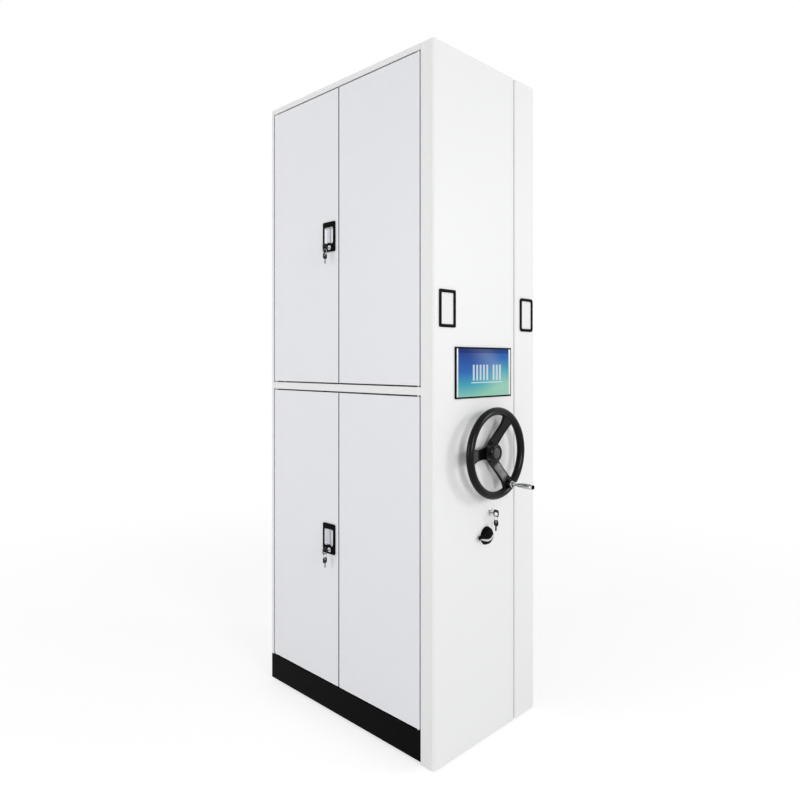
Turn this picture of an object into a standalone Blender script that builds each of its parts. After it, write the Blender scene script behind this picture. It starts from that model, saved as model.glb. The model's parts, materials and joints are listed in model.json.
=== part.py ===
"""Compact mobile shelving: one double-faced carriage with a handwheel chain drive.

The door side (-X) has four steel doors, the aisle side (+X) is open shelving, and the
end panel with the controls faces the user (-Y). Sizes are metres, and +Z is up.
"""
from math import acos, atan2, cos, pi, radians, sin, tau

import bmesh
import bpy
from mathutils import Matrix, Vector

# Whole carriage
UNIT_HEIGHT = 2.305
UNIT_DEPTH = 0.560
ROW_LENGTH = 0.876
SEAT = 0.0003
RUNNING_GAP = 0.001
WELD = 0.00001
CORNER_STEPS = 2

# End panel, in two sheets with a seam between them
PANEL_DEPTH = 0.055
PANEL_SHEET = 0.0015
PANEL_LIP = 0.018
PANEL_CORNER = 0.006
PANEL_FLOOR_GAP = 0.005
SEAM_FROM_DOORS = 0.436
SEAM_GAP = 0.006

# Base: two side beams, two wheel beams, two axles with four wheels
BEAM_FLOOR_GAP = 0.013
BEAM_HEIGHT = 0.096
BEAM_FLANGE = 0.040
BEAM_SHEET = 0.0025
WHEEL_BEAM_WIDTH = 0.072
WHEEL_BEAM_SHEET = 0.003
WHEEL_BEAM_INSET = 0.060
AXLE_INSET = 0.085
AXLE_RADIUS = 0.0125
AXLE_STICKOUT = 0.010
WHEEL_RADIUS = 0.050
WHEEL_WIDTH = 0.034
WHEEL_WEB = 0.016
WHEEL_RIM = 0.009
WHEEL_HUB_RADIUS = 0.022
WHEEL_HUB_WIDTH = 0.044
WHEEL_SIDES = 18
BEARING_RADIUS = 0.020
BEARING_FLANGE_RADIUS = 0.026
BEARING_FLANGE = 0.004
BEARING_LENGTH = 0.010

# Chain drive behind the end panel
CHAIN_PLANE = 0.036
CHAIN_PITCH = 0.03175
CHAIN_PLATE_HEIGHT = 0.0085
CHAIN_PLATE = 0.002
CHAIN_INNER_WIDTH = 0.0072
ROLLER_RADIUS = 0.004
ROLLER_SIDES = 5
SPROCKET_PITCH = 0.015875
UPPER_TEETH = 10
LOWER_TEETH = 15
SPROCKET_THICKNESS = 0.006
TOOTH_HEIGHT = 0.0035
TOOTH_ROOT_SHARE = 0.30
TOOTH_TIP_SHARE = 0.11
CHAIN_TURN_STEPS = 7
SHAFT_RADIUS = 0.010
SHAFT_HOLE_GAP = 0.0015
SHAFT_SIDES = 14
SHAFT_BEARING_RADIUS = 0.030
SHAFT_BEARING_HUB = 0.018
SHAFT_BEARING_FLANGE = 0.005
SHAFT_BEARING_LENGTH = 0.018
SHAFT_END_INSET = 0.002

# Handwheel with a folding crank
WHEEL_X = -0.0185
WHEEL_Z = 0.982
RIM_OUT = 0.050
RIM_RADIUS = 0.141
RIM_TUBE = 0.0135
RIM_SIDES = 28
RIM_TUBE_SIDES = 8
SPOKE_COUNT = 3
SPOKE_FIRST = radians(180)
SPOKE_THICKNESS = 0.012
SPOKE_EDGE = 0.003
SPOKE_HALF_WIDTH = 0.0175
SPOKE_HUB_FLARE = 0.006
SPOKE_RIM_FLARE = 0.010
SPOKE_HUB_CURVE = 3
SPOKE_RIM_CURVE = 5
SPOKE_STATIONS = 7
DISH_OUT = 0.022
HUB_RADIUS = 0.031
HUB_FRONT = 0.0455
HUB_BACK = 0.004
HUB_NECK = 0.020
HUB_SHOULDER = 0.013
HUB_TAPER = 0.005
HUB_SIDES = 18
BORE_DEPTH = 0.030
CAP_RADIUS = 0.030
CAP_CROWN_RADIUS = 0.022
CAP_HEIGHT = 0.008
CAP_EDGE = 0.004
CRANK_ANGLE = radians(-60)
CRANK_RADIUS = 0.127
BOSS_RADIUS = 0.014
BOSS_FRONT = 0.066
CLEVIS_BASE = 0.0035
CLEVIS_RADIUS = 0.011
CLEVIS_GAP = 0.0076
EAR_THICKNESS = 0.004
EAR_HALF_WIDTH = 0.006
FOLD_AXIS_HEIGHT = 0.010
FOLD_PIN_RADIUS = 0.003
EYE_RADIUS = 0.0055
CRANK_TONGUE_HALF = 0.0044
CRANK_LENGTH = 0.078
CRANK_ROD_RADIUS = 0.005
CRANK_ROD_START = 0.009
CRANK_HEAD_RADIUS = 0.0075
CRANK_HEAD = 0.004
CRANK_TIP_RADIUS = 0.0053
CRANK_TIP_EDGE = 0.002
GRIP_START = 0.016
GRIP_RADIUS = 0.0088
GRIP_WAIST_RADIUS = 0.0072
GRIP_END_RADIUS = 0.0079
GRIP_EDGE = 0.0044
CRANK_SIDES = 12

# Screen and label frames on the end panel
SCREEN_X = -0.0245
SCREEN_Z = 1.2525
SCREEN_WIDTH = 0.307
SCREEN_HEIGHT = 0.170
SCREEN_PROUD = 0.005
SCREEN_BORDER = 0.005
SCREEN_BODY_MARGIN = 0.010
SCREEN_BODY_DEPTH = 0.026
GLASS_THICKNESS = 0.003
LABEL_WIDTH = 0.080
LABEL_HEIGHT = 0.121
LABEL_BORDER = 0.010
LABEL_THICKNESS = 0.004
LABEL_CORNER = 0.006
LABEL_Z = 1.4595
LABEL_FROM_DOORS = 0.065
LABEL_FROM_AISLE = 0.0515

# Brake knob
BRAKE_X = -0.011
BRAKE_Z = 0.696
ESCUTCHEON_RADIUS = 0.031
ESCUTCHEON_THICKNESS = 0.003
KNOB_RADIUS = 0.028
KNOB_HEIGHT = 0.015
KNOB_TOP_RADIUS = 0.023
KNOB_CROWN_RADIUS = 0.0184
KNOB_EDGE = 0.0037
KNOB_SKIRT = 0.006
LEVER_REACH = 0.050
LEVER_HALF_WIDTH = 0.008
LEVER_ROOT_HALF_WIDTH = 0.012
LEVER_TIP_STEPS = 5
LEVER_THICKNESS = 0.008
LEVER_OUT = 0.0075
SPINDLE_RADIUS = 0.005
PAWL_HALF_WIDTH = 0.005
PAWL_THICKNESS = 0.006
KNOB_SIDES = 18

# Locks and keys
PLUG_RADIUS = 0.0085
PLUG_PROUD = 0.0015
PLUG_GAP = 0.0005
PLUG_SIDES = 12
BARREL_RADIUS = 0.011
BARREL_FLANGE_RADIUS = 0.0145
BARREL_FLANGE = 0.003
BARREL_DEPTH = 0.022
PANEL_LOCK_X = 0.014
PANEL_LOCK_Z = 0.771
TONGUE_REACH = 0.026
TONGUE_HALF_WIDTH = 0.006
TONGUE_THICKNESS = 0.002
TONGUE_DEPTH = 0.010
KEY_THICKNESS = 0.0024
KEY_SHANK = 0.009
KEY_HALF_SHANK = 0.0036
KEY_BOW_LENGTH = 0.021
KEY_BOW_HEIGHT = 0.024
KEY_BOW_CORNER = 0.005
KEY_BAR = 0.003
KEY_END_BAR = 0.0035
KEY_WINDOW = 0.012
SPARE_BLADE = 0.017
SPARE_BOW_HEIGHT = 0.018
RING_RADIUS = 0.0095
RING_WIRE = 0.0009
RING_HANG = 0.0021
RING_SIDES = 12
RING_WIRE_SIDES = 5

# Door lock plates, each with a finger cup let into the door
PLATE_WIDTH = 0.068
PLATE_HEIGHT = 0.110
PLATE_PROUD = 0.005
PLATE_CORNER = 0.005
PLATE_FROM_EDGE = 0.014
UPPER_PLATE_RISE = 0.0
LOWER_PLATE_RISE = -0.004
RECESS_WIDTH = 0.048
RECESS_HEIGHT = 0.060
RECESS_DEPTH = 0.0105
RECESS_TOP_BAND = 0.020
RECESS_CORNER = 0.006
CUP_WALL = 0.002
PLUG_FROM_BOTTOM = 0.015
PLUG_RIGHT = 0.005

# Doors and their pivot pins
DOOR_THICKNESS = 0.018
DOOR_SHEET = 0.0012
DOOR_LIP = 0.015
DOOR_CORNER = 0.003
DOOR_GAP = 0.005
PIN_RADIUS = 0.004
PIN_INSET = 0.010
PIN_DEPTH = 0.007
PIN_ENGAGEMENT = 0.005
PIN_SIDES = 12
STIFFENER_WIDTH = 0.060
STIFFENER_DEPTH = 0.011
STIFFENER_END_GAP = 0.060
BEHIND_DOORS = 0.025

# Walls, top, deck and shelves
WALL_DEPTH = 0.012
WALL_SHEET = 0.0012
WALL_LIP = 0.020
TOP_HEIGHT = 0.020
TOP_SHEET = 0.0012
TOP_LIP = 0.020
DECK_HEIGHT = 0.0205
DECK_SHEET = 0.0012
DECK_LIP = 0.012
AISLE_SETBACK = 0.004
PARTITION_SHEET = 0.0012
TIERS = 6
SHELF_HEIGHT = 0.026
SHELF_SHEET = 0.001
SHELF_LIP = 0.018
SHELF_CENTRE_GAP = 0.0015
HOOK_THICKNESS = 0.0025
HOOK_HEIGHT = 0.018
HOOK_REACH = 0.005
HOOK_ROOT = 0.012
SLOT_WIDTH = 0.004
SLOT_HEIGHT = 0.030
SLOTS_PER_TIER = 2
SLOT_NEAR_CENTRE = 0.035
SLOT_NEAR_FACE = 0.055

# Places that follow from the sizes above
DOOR_FACE = -UNIT_DEPTH / 2
AISLE_FACE = UNIT_DEPTH / 2
AXLE_OFFSET = AISLE_FACE - AXLE_INSET
FRAME_FRONT = PANEL_DEPTH + SEAT
FRONT_INNER = FRAME_FRONT + WALL_DEPTH
REAR_INNER = ROW_LENGTH - WALL_DEPTH
INNER_X = DOOR_FACE + BEHIND_DOORS
BEAM_TOP = BEAM_FLOOR_GAP + BEAM_HEIGHT
DECK_BOTTOM = BEAM_TOP + SEAT
DECK_TOP = DECK_BOTTOM + DECK_HEIGHT
TOP_BOTTOM = UNIT_HEIGHT - TOP_HEIGHT
TIER = (TOP_BOTTOM - DECK_TOP) / TIERS
MID_LEVEL = TIERS // 2
MID_TOP = DECK_TOP + MID_LEVEL * TIER
MID_BOTTOM = MID_TOP - SHELF_HEIGHT
AXLE_Z = WHEEL_RADIUS * cos(pi / WHEEL_SIDES)
DOOR_WIDTH = (REAR_INNER - PANEL_DEPTH - 3 * DOOR_GAP) / 2
FOLD_AXIS_OUT = BOSS_FRONT + SEAT + FOLD_AXIS_HEIGHT
UPPER_PITCH_RADIUS = SPROCKET_PITCH / (2 * sin(pi / UPPER_TEETH))
LOWER_PITCH_RADIUS = SPROCKET_PITCH / (2 * sin(pi / LOWER_TEETH))
CRANK_REACH = FOLD_AXIS_OUT + CRANK_LENGTH
KEY_REACH = KEY_SHANK + KEY_BOW_LENGTH
DOOR_KEY_REACH = PLATE_PROUD + PLUG_PROUD + KEY_REACH

FRONT_VIEW = (pi / 2, 0, 0)
DOOR_VIEW = (pi / 2, 0, -pi / 2)
ALONG_ROW = (-pi / 2, 0, 0)


def clear_scene():
    for old in list(bpy.data.objects):
        bpy.data.objects.remove(old)


def new_collection(name):
    made = bpy.data.collections.new(name)
    bpy.context.scene.collection.children.link(made)
    return made


clear_scene()
PARTS = new_collection("compact_mobile_shelving")
CUTTERS = new_collection("cutters")


def finish(name, colour, roughness, metallic=0.0):
    """Principled material with the piece's colour."""
    made = bpy.data.materials.new(name)
    made.use_nodes = True
    shader = made.node_tree.nodes["Principled BSDF"]
    shader.inputs["Base Color"].default_value = (*colour, 1.0)
    shader.inputs["Roughness"].default_value = roughness
    shader.inputs["Metallic"].default_value = metallic
    return made


WHITE_ENAMEL = finish("white_enamel", (0.80, 0.81, 0.82), 0.45)
DOOR_ENAMEL = finish("door_enamel", (0.74, 0.75, 0.77), 0.45)
BLACK_ENAMEL = finish("black_enamel", (0.012, 0.012, 0.013), 0.50)
BLACK_PLASTIC = finish("black_plastic", (0.015, 0.015, 0.016), 0.40)
GREY_PLASTIC = finish("grey_plastic", (0.20, 0.20, 0.21), 0.45)
CHROME = finish("chrome", (0.80, 0.80, 0.81), 0.12, 1.0)
ZINC = finish("zinc_steel", (0.55, 0.56, 0.58), 0.40, 1.0)
CAST_IRON = finish("cast_iron", (0.16, 0.16, 0.17), 0.55, 1.0)
DARK_GLASS = finish("dark_glass", (0.02, 0.10, 0.16), 0.08)


def pivot(name, parent, at, turn=(0, 0, 0)):
    """Empty on an axis or a face; what sits on it is parented to it."""
    empty = bpy.data.objects.new(name, None)
    PARTS.objects.link(empty)
    empty.parent = parent
    empty.location = at
    empty.rotation_euler = turn
    return empty


def part(name, mesh, parent, look, at=(0, 0, 0), turn=(0, 0, 0)):
    made = bpy.data.objects.new(name, mesh)
    PARTS.objects.link(made)
    made.parent = parent
    made.location = at
    made.rotation_euler = turn
    mesh.materials.append(look)
    return made


def tool(name, mesh, parent, at=(0, 0, 0), turn=(0, 0, 0)):
    """Helper body that is cut from, or joined to, a part."""
    made = bpy.data.objects.new(name, mesh)
    CUTTERS.objects.link(made)
    made.parent = parent
    made.location = at
    made.rotation_euler = turn
    made.hide_render = True
    made.display_type = "WIRE"
    return made


def combine(target, operation, *tools):
    for helper in tools:
        step = target.modifiers.new(helper.name, "BOOLEAN")
        step.operation = operation
        step.solver = "EXACT"
        step.object = helper


def mesh_of(name, shape):
    mesh = bpy.data.meshes.new(name)
    shape.to_mesh(mesh)
    shape.free()
    return mesh


def add_box(shape, low, high):
    middle = (Vector(low) + Vector(high)) / 2
    size = Vector(high) - Vector(low)
    placed = Matrix.Translation(middle) @ Matrix.Diagonal((*size, 1.0))
    return bmesh.ops.create_cube(shape, size=1.0, matrix=placed)["verts"]


def box(name, low, high):
    return boxes(name, [(low, high)])


def boxes(name, corners):
    shape = bmesh.new()
    for low, high in corners:
        add_box(shape, low, high)
    return mesh_of(name, shape)


def rod(name, radius, bottom, top, sides):
    return rods(name, [(0.0, 0.0)], radius, bottom, top, sides)


def rods(name, centres, radius, bottom, top, sides):
    """Round bars along local Z at each (x, y), with a corner on +X as turned pieces have."""
    shape = bmesh.new()
    quarter_turn = Matrix.Rotation(-pi / 2, 4, "Z")
    for x, y in centres:
        placed = Matrix.Translation((x, y, (bottom + top) / 2)) @ quarter_turn
        bmesh.ops.create_cone(shape, cap_ends=True, segments=sides, radius1=radius, radius2=radius,
                              depth=top - bottom, matrix=placed)
    return mesh_of(name, shape)


def same_way(normal, direction):
    return (normal - direction).length < WELD


def pan(name, low, high, open_side, lip=0.0, corner=0.0):
    """Sheet folded into a box that is open on one side, with lips round the opening.

    The two upright edges that lie opposite the opening can have a bend radius.
    """
    shape = bmesh.new()
    add_box(shape, low, high)
    opening = Vector(open_side)
    mouth = [face for face in shape.faces if same_way(face.normal, opening)]
    if corner:
        back = [face for face in shape.faces if same_way(face.normal, -opening)]
        bends = [edge for edge in back[0].edges
                 if edge.verts[0].co.z != edge.verts[1].co.z]
        bmesh.ops.bevel(shape, geom=bends, offset=corner, segments=CORNER_STEPS, profile=0.5, affect="EDGES")
    if lip:
        bmesh.ops.inset_region(shape, faces=mouth, thickness=lip, use_even_offset=True)
    bmesh.ops.delete(shape, geom=mouth, context="FACES_ONLY")
    return mesh_of(name, shape)


def fold(target, sheet):
    """Give an open surface its sheet thickness, inwards."""
    step = target.modifiers.new("sheet", "SOLIDIFY")
    step.thickness = sheet
    step.offset = -1.0
    step.use_even_offset = True


def profile_mesh(name, points, closed):
    """Line of (radius, height) points to be turned about local Z."""
    shape = bmesh.new()
    corners = [shape.verts.new((radius, 0.0, height)) for radius, height in points]
    for first, second in zip(corners, corners[1:]):
        shape.edges.new((first, second))
    if closed:
        shape.edges.new((corners[-1], corners[0]))
    return mesh_of(name, shape)


def turn_profile(target, sides):
    step = target.modifiers.new("turned", "SCREW")
    step.steps = sides
    step.render_steps = sides
    step.use_merge_vertices = True
    step.merge_threshold = WELD


def smooth(target):
    target.data.shade_smooth()


def outline_mesh(name, outlines, thickness, edge=0.0):
    """Flat piece with the given closed outlines, centred on local Z = 0."""
    curve = bpy.data.curves.new(name, "CURVE")
    curve.dimensions = "2D"
    curve.fill_mode = "BOTH"
    curve.extrude = thickness / 2 - edge
    curve.bevel_depth = edge
    curve.bevel_resolution = 0
    for points in outlines:
        spline = curve.splines.new("POLY")
        spline.points.add(len(points) - 1)
        for slot, (x, y) in zip(spline.points, points):
            slot.co = (x, y, 0.0, 1.0)
        spline.use_cyclic_u = True
    holder = bpy.data.objects.new(name, curve)
    bpy.context.scene.collection.objects.link(holder)
    evaluated = holder.evaluated_get(bpy.context.evaluated_depsgraph_get())
    mesh = bpy.data.meshes.new_from_object(evaluated)
    bpy.data.objects.remove(holder)
    shape = bmesh.new()
    shape.from_mesh(mesh)
    bmesh.ops.remove_doubles(shape, verts=shape.verts, dist=WELD)
    bmesh.ops.recalc_face_normals(shape, faces=shape.faces)
    shape.to_mesh(mesh)
    shape.free()
    return mesh


def arc(centre, radius, start, end, steps):
    return [(centre[0] + radius * cos(start + (end - start) * k / steps),
             centre[1] + radius * sin(start + (end - start) * k / steps))
            for k in range(steps + 1)]


def rounded(width, height, corner, centre=(0.0, 0.0), steps=CORNER_STEPS):
    """Rectangle outline with round corners."""
    points = []
    for quarter in range(4):
        start = quarter * pi / 2
        side_x = 1 if quarter in (0, 3) else -1
        side_y = 1 if quarter in (0, 1) else -1
        middle = (centre[0] + side_x * (width / 2 - corner),
                  centre[1] + side_y * (height / 2 - corner))
        points += arc(middle, corner, start, start + pi / 2, steps)
    return points


ROOT = bpy.data.objects.new("carriage_origin", None)
PARTS.objects.link(ROOT)
ROOT.location = (DOOR_KEY_REACH / 2, (CRANK_REACH - ROW_LENGTH) / 2, 0.0)
FRONT = pivot("front_face", ROOT, (0, 0, 0), FRONT_VIEW)


def build_base_beams():
    """Black side beams, seen as the plinth, and the two inverted channels between them."""
    for name, face, inward in (("left_base_beam", DOOR_FACE, 1), ("right_base_beam", AISLE_FACE, -1)):
        edges = sorted((face, face + inward * BEAM_FLANGE))
        mesh = pan(name, (edges[0], FRAME_FRONT, BEAM_FLOOR_GAP), (edges[1], ROW_LENGTH, BEAM_TOP),
                   (inward, 0, 0))
        beam = part(name, mesh, ROOT, BLACK_ENAMEL)
        fold(beam, BEAM_SHEET)
        if face == DOOR_FACE:
            combine(beam, "DIFFERENCE", pin_holes("beam_pin_holes", BEAM_TOP - BEAM_SHEET))
    half_width = WHEEL_BEAM_WIDTH / 2
    low_z = BEAM_FLOOR_GAP + BEAM_SHEET + SEAT
    high_z = BEAM_TOP - BEAM_SHEET - SEAT
    half_length = AISLE_FACE - BEAM_SHEET - SEAT
    for name, middle in wheel_beam_places():
        mesh = pan(name, (-half_length, middle - half_width, low_z),
                   (half_length, middle + half_width, high_z), (0, 0, -1))
        beam = part(name, mesh, ROOT, BLACK_ENAMEL)
        fold(beam, WHEEL_BEAM_SHEET)
        hole = BEARING_RADIUS + SEAT
        holes = rods(name + "_holes", [(-AXLE_OFFSET, -AXLE_Z), (AXLE_OFFSET, -AXLE_Z)], hole,
                     middle - WHEEL_BEAM_WIDTH, middle + WHEEL_BEAM_WIDTH, WHEEL_SIDES)
        combine(beam, "DIFFERENCE", tool(name + "_holes", holes, ROOT, turn=ALONG_ROW))


def wheel_beam_places():
    reach = WHEEL_BEAM_INSET + WHEEL_BEAM_WIDTH / 2
    return (("front_wheel_beam", FRAME_FRONT + reach), ("rear_wheel_beam", ROW_LENGTH - reach))


def pin_holes(name, height):
    """Holes for the door pins at one level, through whatever sheet lies there."""
    centres = [(DOOR_FACE + PIN_DEPTH, y) for y in hinge_lines()]
    mesh = rods(name, centres, PIN_RADIUS + SEAT, height - PIN_ENGAGEMENT, height + PIN_ENGAGEMENT,
                PIN_SIDES)
    return tool(name, mesh, ROOT)


def hinge_lines():
    front = PANEL_DEPTH + DOOR_GAP + PIN_INSET
    rear = REAR_INNER - DOOR_GAP - PIN_INSET
    return front, rear


def build_axles():
    """Two axles across the wheel beams, each with two turned wheels and two flanged bearings."""
    places = wheel_beam_places()
    wall = WHEEL_BEAM_WIDTH / 2
    rear_end = places[1][1] + wall + AXLE_STICKOUT
    chain_side = CHAIN_PLANE - SPROCKET_THICKNESS / 2 - SHAFT_END_INSET
    idle_front = places[0][1] - wall - AXLE_STICKOUT
    for kind, x, front_end in (("drive", -AXLE_OFFSET, chain_side), ("idle", AXLE_OFFSET, idle_front)):
        axle_name = f"{kind}_axle"
        axis = pivot(axle_name + "_axis", ROOT, (x, 0, AXLE_Z), ALONG_ROW)
        axle = part(axle_name, rod(axle_name, AXLE_RADIUS, front_end, rear_end, WHEEL_SIDES), axis, ZINC)
        smooth(axle)
        for end, (_, middle), turned in (("front", places[0], pi), ("rear", places[1], 0)):
            wheel_name = f"{kind}_wheel_{end}"
            wheel_mesh = profile_mesh(wheel_name, wheel_profile(), True)
            wheel = part(wheel_name, wheel_mesh, axis, CAST_IRON, at=(0, 0, middle))
            turn_profile(wheel, WHEEL_SIDES)
            bearing_name = f"{kind}_bearing_{end}"
            bearing_mesh = profile_mesh(bearing_name, bearing_profile(), True)
            seat_at = middle + (wall + SEAT) * cos(turned)
            bearing = part(bearing_name, bearing_mesh, axis, ZINC, at=(0, 0, seat_at), turn=(turned, 0, 0))
            turn_profile(bearing, WHEEL_SIDES)


def wheel_profile():
    bore = AXLE_RADIUS + SEAT
    half_hub = WHEEL_HUB_WIDTH / 2
    half_web = WHEEL_WEB / 2
    half_tread = WHEEL_WIDTH / 2
    inner_rim = WHEEL_RADIUS - WHEEL_RIM
    upper = [(bore, half_hub), (WHEEL_HUB_RADIUS, half_hub), (inner_rim, half_web),
             (WHEEL_RADIUS, half_tread)]
    return upper + [(radius, -height) for radius, height in reversed(upper)]


def bearing_profile():
    """Flange against the outside of the beam wall, with a sleeve through the wall's hole."""
    bore = AXLE_RADIUS + SEAT
    return [(bore, BEARING_FLANGE), (BEARING_FLANGE_RADIUS, BEARING_FLANGE),
            (BEARING_FLANGE_RADIUS, 0.0), (BEARING_RADIUS, 0.0),
            (BEARING_RADIUS, -BEARING_LENGTH), (bore, -BEARING_LENGTH)]


def build_walls():
    """Front and rear end walls with hook slots, the partition, the top and the deck."""
    columns = [DOOR_FACE + SLOT_NEAR_FACE, -SLOT_NEAR_CENTRE,
               SLOT_NEAR_CENTRE, AISLE_FACE - SLOT_NEAR_FACE]
    slots = []
    count = TIERS * SLOTS_PER_TIER
    for x in columns:
        for k in range(1, count):
            base = DECK_TOP + k * TIER / SLOTS_PER_TIER - SHELF_SHEET / 2 - HOOK_HEIGHT - SEAT
            slots.append((x, base))
    for name, left, low_y, high_y, outward in (
            ("front_wall", INNER_X, FRAME_FRONT, FRONT_INNER, -1),
            ("rear_wall", DOOR_FACE, REAR_INNER, ROW_LENGTH, 1)):
        lip = WALL_LIP if outward > 0 else 0.0
        mesh = pan(name, (left, low_y, DECK_BOTTOM), (AISLE_FACE, high_y, TOP_BOTTOM - SEAT),
                   (0, outward, 0), lip)
        wall = part(name, mesh, ROOT, WHITE_ENAMEL)
        fold(wall, WALL_SHEET)
        inner = FRONT_INNER if outward < 0 else REAR_INNER
        corners = [((x - SLOT_WIDTH / 2, inner - WALL_SHEET * 2, z),
                    (x + SLOT_WIDTH / 2, inner + WALL_SHEET * 2, z + SLOT_HEIGHT)) for x, z in slots]
        combine(wall, "DIFFERENCE", tool(name + "_slots", boxes(name + "_slots", corners), ROOT))
    inside_front = FRONT_INNER + SEAT
    inside_rear = REAR_INNER - SEAT
    deck_mesh = pan("base_deck", (INNER_X, inside_front, DECK_BOTTOM),
                    (AISLE_FACE - AISLE_SETBACK, inside_rear, DECK_TOP), (0, 0, -1), DECK_LIP)
    deck = part("base_deck", deck_mesh, ROOT, WHITE_ENAMEL)
    fold(deck, DECK_SHEET)
    partition = box("centre_partition", (-PARTITION_SHEET / 2, inside_front, DECK_TOP + SEAT),
                    (PARTITION_SHEET / 2, inside_rear, TOP_BOTTOM - SEAT))
    part("centre_partition", partition, ROOT, WHITE_ENAMEL)
    top_mesh = pan("top_panel", (DOOR_FACE, FRAME_FRONT, TOP_BOTTOM),
                   (AISLE_FACE, ROW_LENGTH, UNIT_HEIGHT), (0, 0, -1), TOP_LIP)
    top = part("top_panel", top_mesh, ROOT, WHITE_ENAMEL)
    fold(top, TOP_SHEET)
    combine(top, "DIFFERENCE", pin_holes("top_pin_holes", TOP_BOTTOM))


def build_shelves():
    """Five trays on each side; the middle one on the door side is also the rail between the doors."""
    inside_front = FRONT_INNER + SEAT
    inside_rear = REAR_INNER - SEAT
    for side, edge, centre_edge, face_slot in (
            ("door_side", INNER_X, -SHELF_CENTRE_GAP, DOOR_FACE + SLOT_NEAR_FACE),
            ("aisle_side", AISLE_FACE - AISLE_SETBACK, SHELF_CENTRE_GAP, AISLE_FACE - SLOT_NEAR_FACE)):
        centre_slot = SLOT_NEAR_CENTRE if side == "aisle_side" else -SLOT_NEAR_CENTRE
        for level in range(1, TIERS):
            name = f"{side}_shelf_{level}"
            top = DECK_TOP + level * TIER
            is_rail = side == "door_side" and level == MID_LEVEL
            face = DOOR_FACE if is_rail else edge
            start = FRAME_FRONT if is_rail else inside_front
            left, right = sorted((face, centre_edge))
            mesh = pan(name, (left, start, top - SHELF_HEIGHT), (right, inside_rear, top),
                       (0, 0, -1), SHELF_LIP)
            shelf = part(name, mesh, ROOT, WHITE_ENAMEL)
            fold(shelf, SHELF_SHEET)
            if is_rail:
                notch = box("rail_notch", (INNER_X - SEAT, FRAME_FRONT - WALL_DEPTH, top - SHELF_HEIGHT * 2),
                            (AISLE_FACE, inside_front, top + SHELF_HEIGHT))
                combine(shelf, "DIFFERENCE", tool("rail_notch", notch, ROOT))
                combine(shelf, "DIFFERENCE", pin_holes("rail_upper_pin_holes", MID_TOP),
                        pin_holes("rail_lower_pin_holes", MID_BOTTOM))
            hooks = []
            high = top - SHELF_SHEET / 2
            for x in (face_slot, centre_slot):
                left_x = x - HOOK_THICKNESS / 2
                right_x = x + HOOK_THICKNESS / 2
                hooks.append(((left_x, inside_front - HOOK_REACH, high - HOOK_HEIGHT),
                              (right_x, inside_front + HOOK_ROOT, high)))
                hooks.append(((left_x, inside_rear - HOOK_ROOT, high - HOOK_HEIGHT),
                              (right_x, inside_rear + HOOK_REACH, high)))
            combine(shelf, "UNION", tool(name + "_hooks", boxes(name + "_hooks", hooks), ROOT))


def build_doors():
    """Four pan doors on pivot pins; the two rear leaves carry the locks."""
    front_line, rear_line = hinge_lines()
    for level, bottom, top, plate_rise in (
            ("upper", MID_TOP + DOOR_GAP, TOP_BOTTOM - DOOR_GAP, UPPER_PLATE_RISE),
            ("lower", BEAM_TOP + DOOR_GAP, MID_BOTTOM - DOOR_GAP, LOWER_PLATE_RISE)):
        height = top - bottom
        for leaf, line, toward in (("front", front_line, 1), ("rear", rear_line, -1)):
            name = f"{level}_{leaf}_door"
            hinge = pivot(name + "_hinge", ROOT, (DOOR_FACE + PIN_DEPTH, line, bottom))
            ends = sorted((-toward * PIN_INSET, toward * (DOOR_WIDTH - PIN_INSET)))
            low = (-PIN_DEPTH, ends[0], 0.0)
            high = (DOOR_THICKNESS - PIN_DEPTH, ends[1], height)
            door = part(name, pan(name, low, high, (1, 0, 0), DOOR_LIP, DOOR_CORNER), hinge, DOOR_ENAMEL)
            fold(door, DOOR_SHEET)
            middle = (ends[0] + ends[1]) / 2
            base = -PIN_DEPTH + DOOR_SHEET / 2
            stiff_low = (base, middle - STIFFENER_WIDTH / 2, STIFFENER_END_GAP)
            stiff_high = (base + STIFFENER_DEPTH, middle + STIFFENER_WIDTH / 2, height - STIFFENER_END_GAP)
            stiff_mesh = pan(name + "_stiffener", stiff_low, stiff_high, (1, 0, 0))
            stiffener = tool(name + "_stiffener", stiff_mesh, hinge)
            fold(stiffener, DOOR_SHEET)
            root_depth = DOOR_SHEET / 2
            reach = DOOR_GAP + PIN_ENGAGEMENT
            combine(door, "UNION", stiffener)
            pin_spans = (("low", -reach, root_depth), ("high", height - root_depth, height + reach))
            for end, start, stop in pin_spans:
                pin_name = f"{name}_{end}_pin"
                pin = tool(pin_name, rod(pin_name, PIN_RADIUS, start, stop, PIN_SIDES), hinge)
                combine(door, "UNION", pin)
            if leaf == "rear":
                build_door_lock(level, door, hinge, ends[0], height / 2 + plate_rise)


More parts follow.
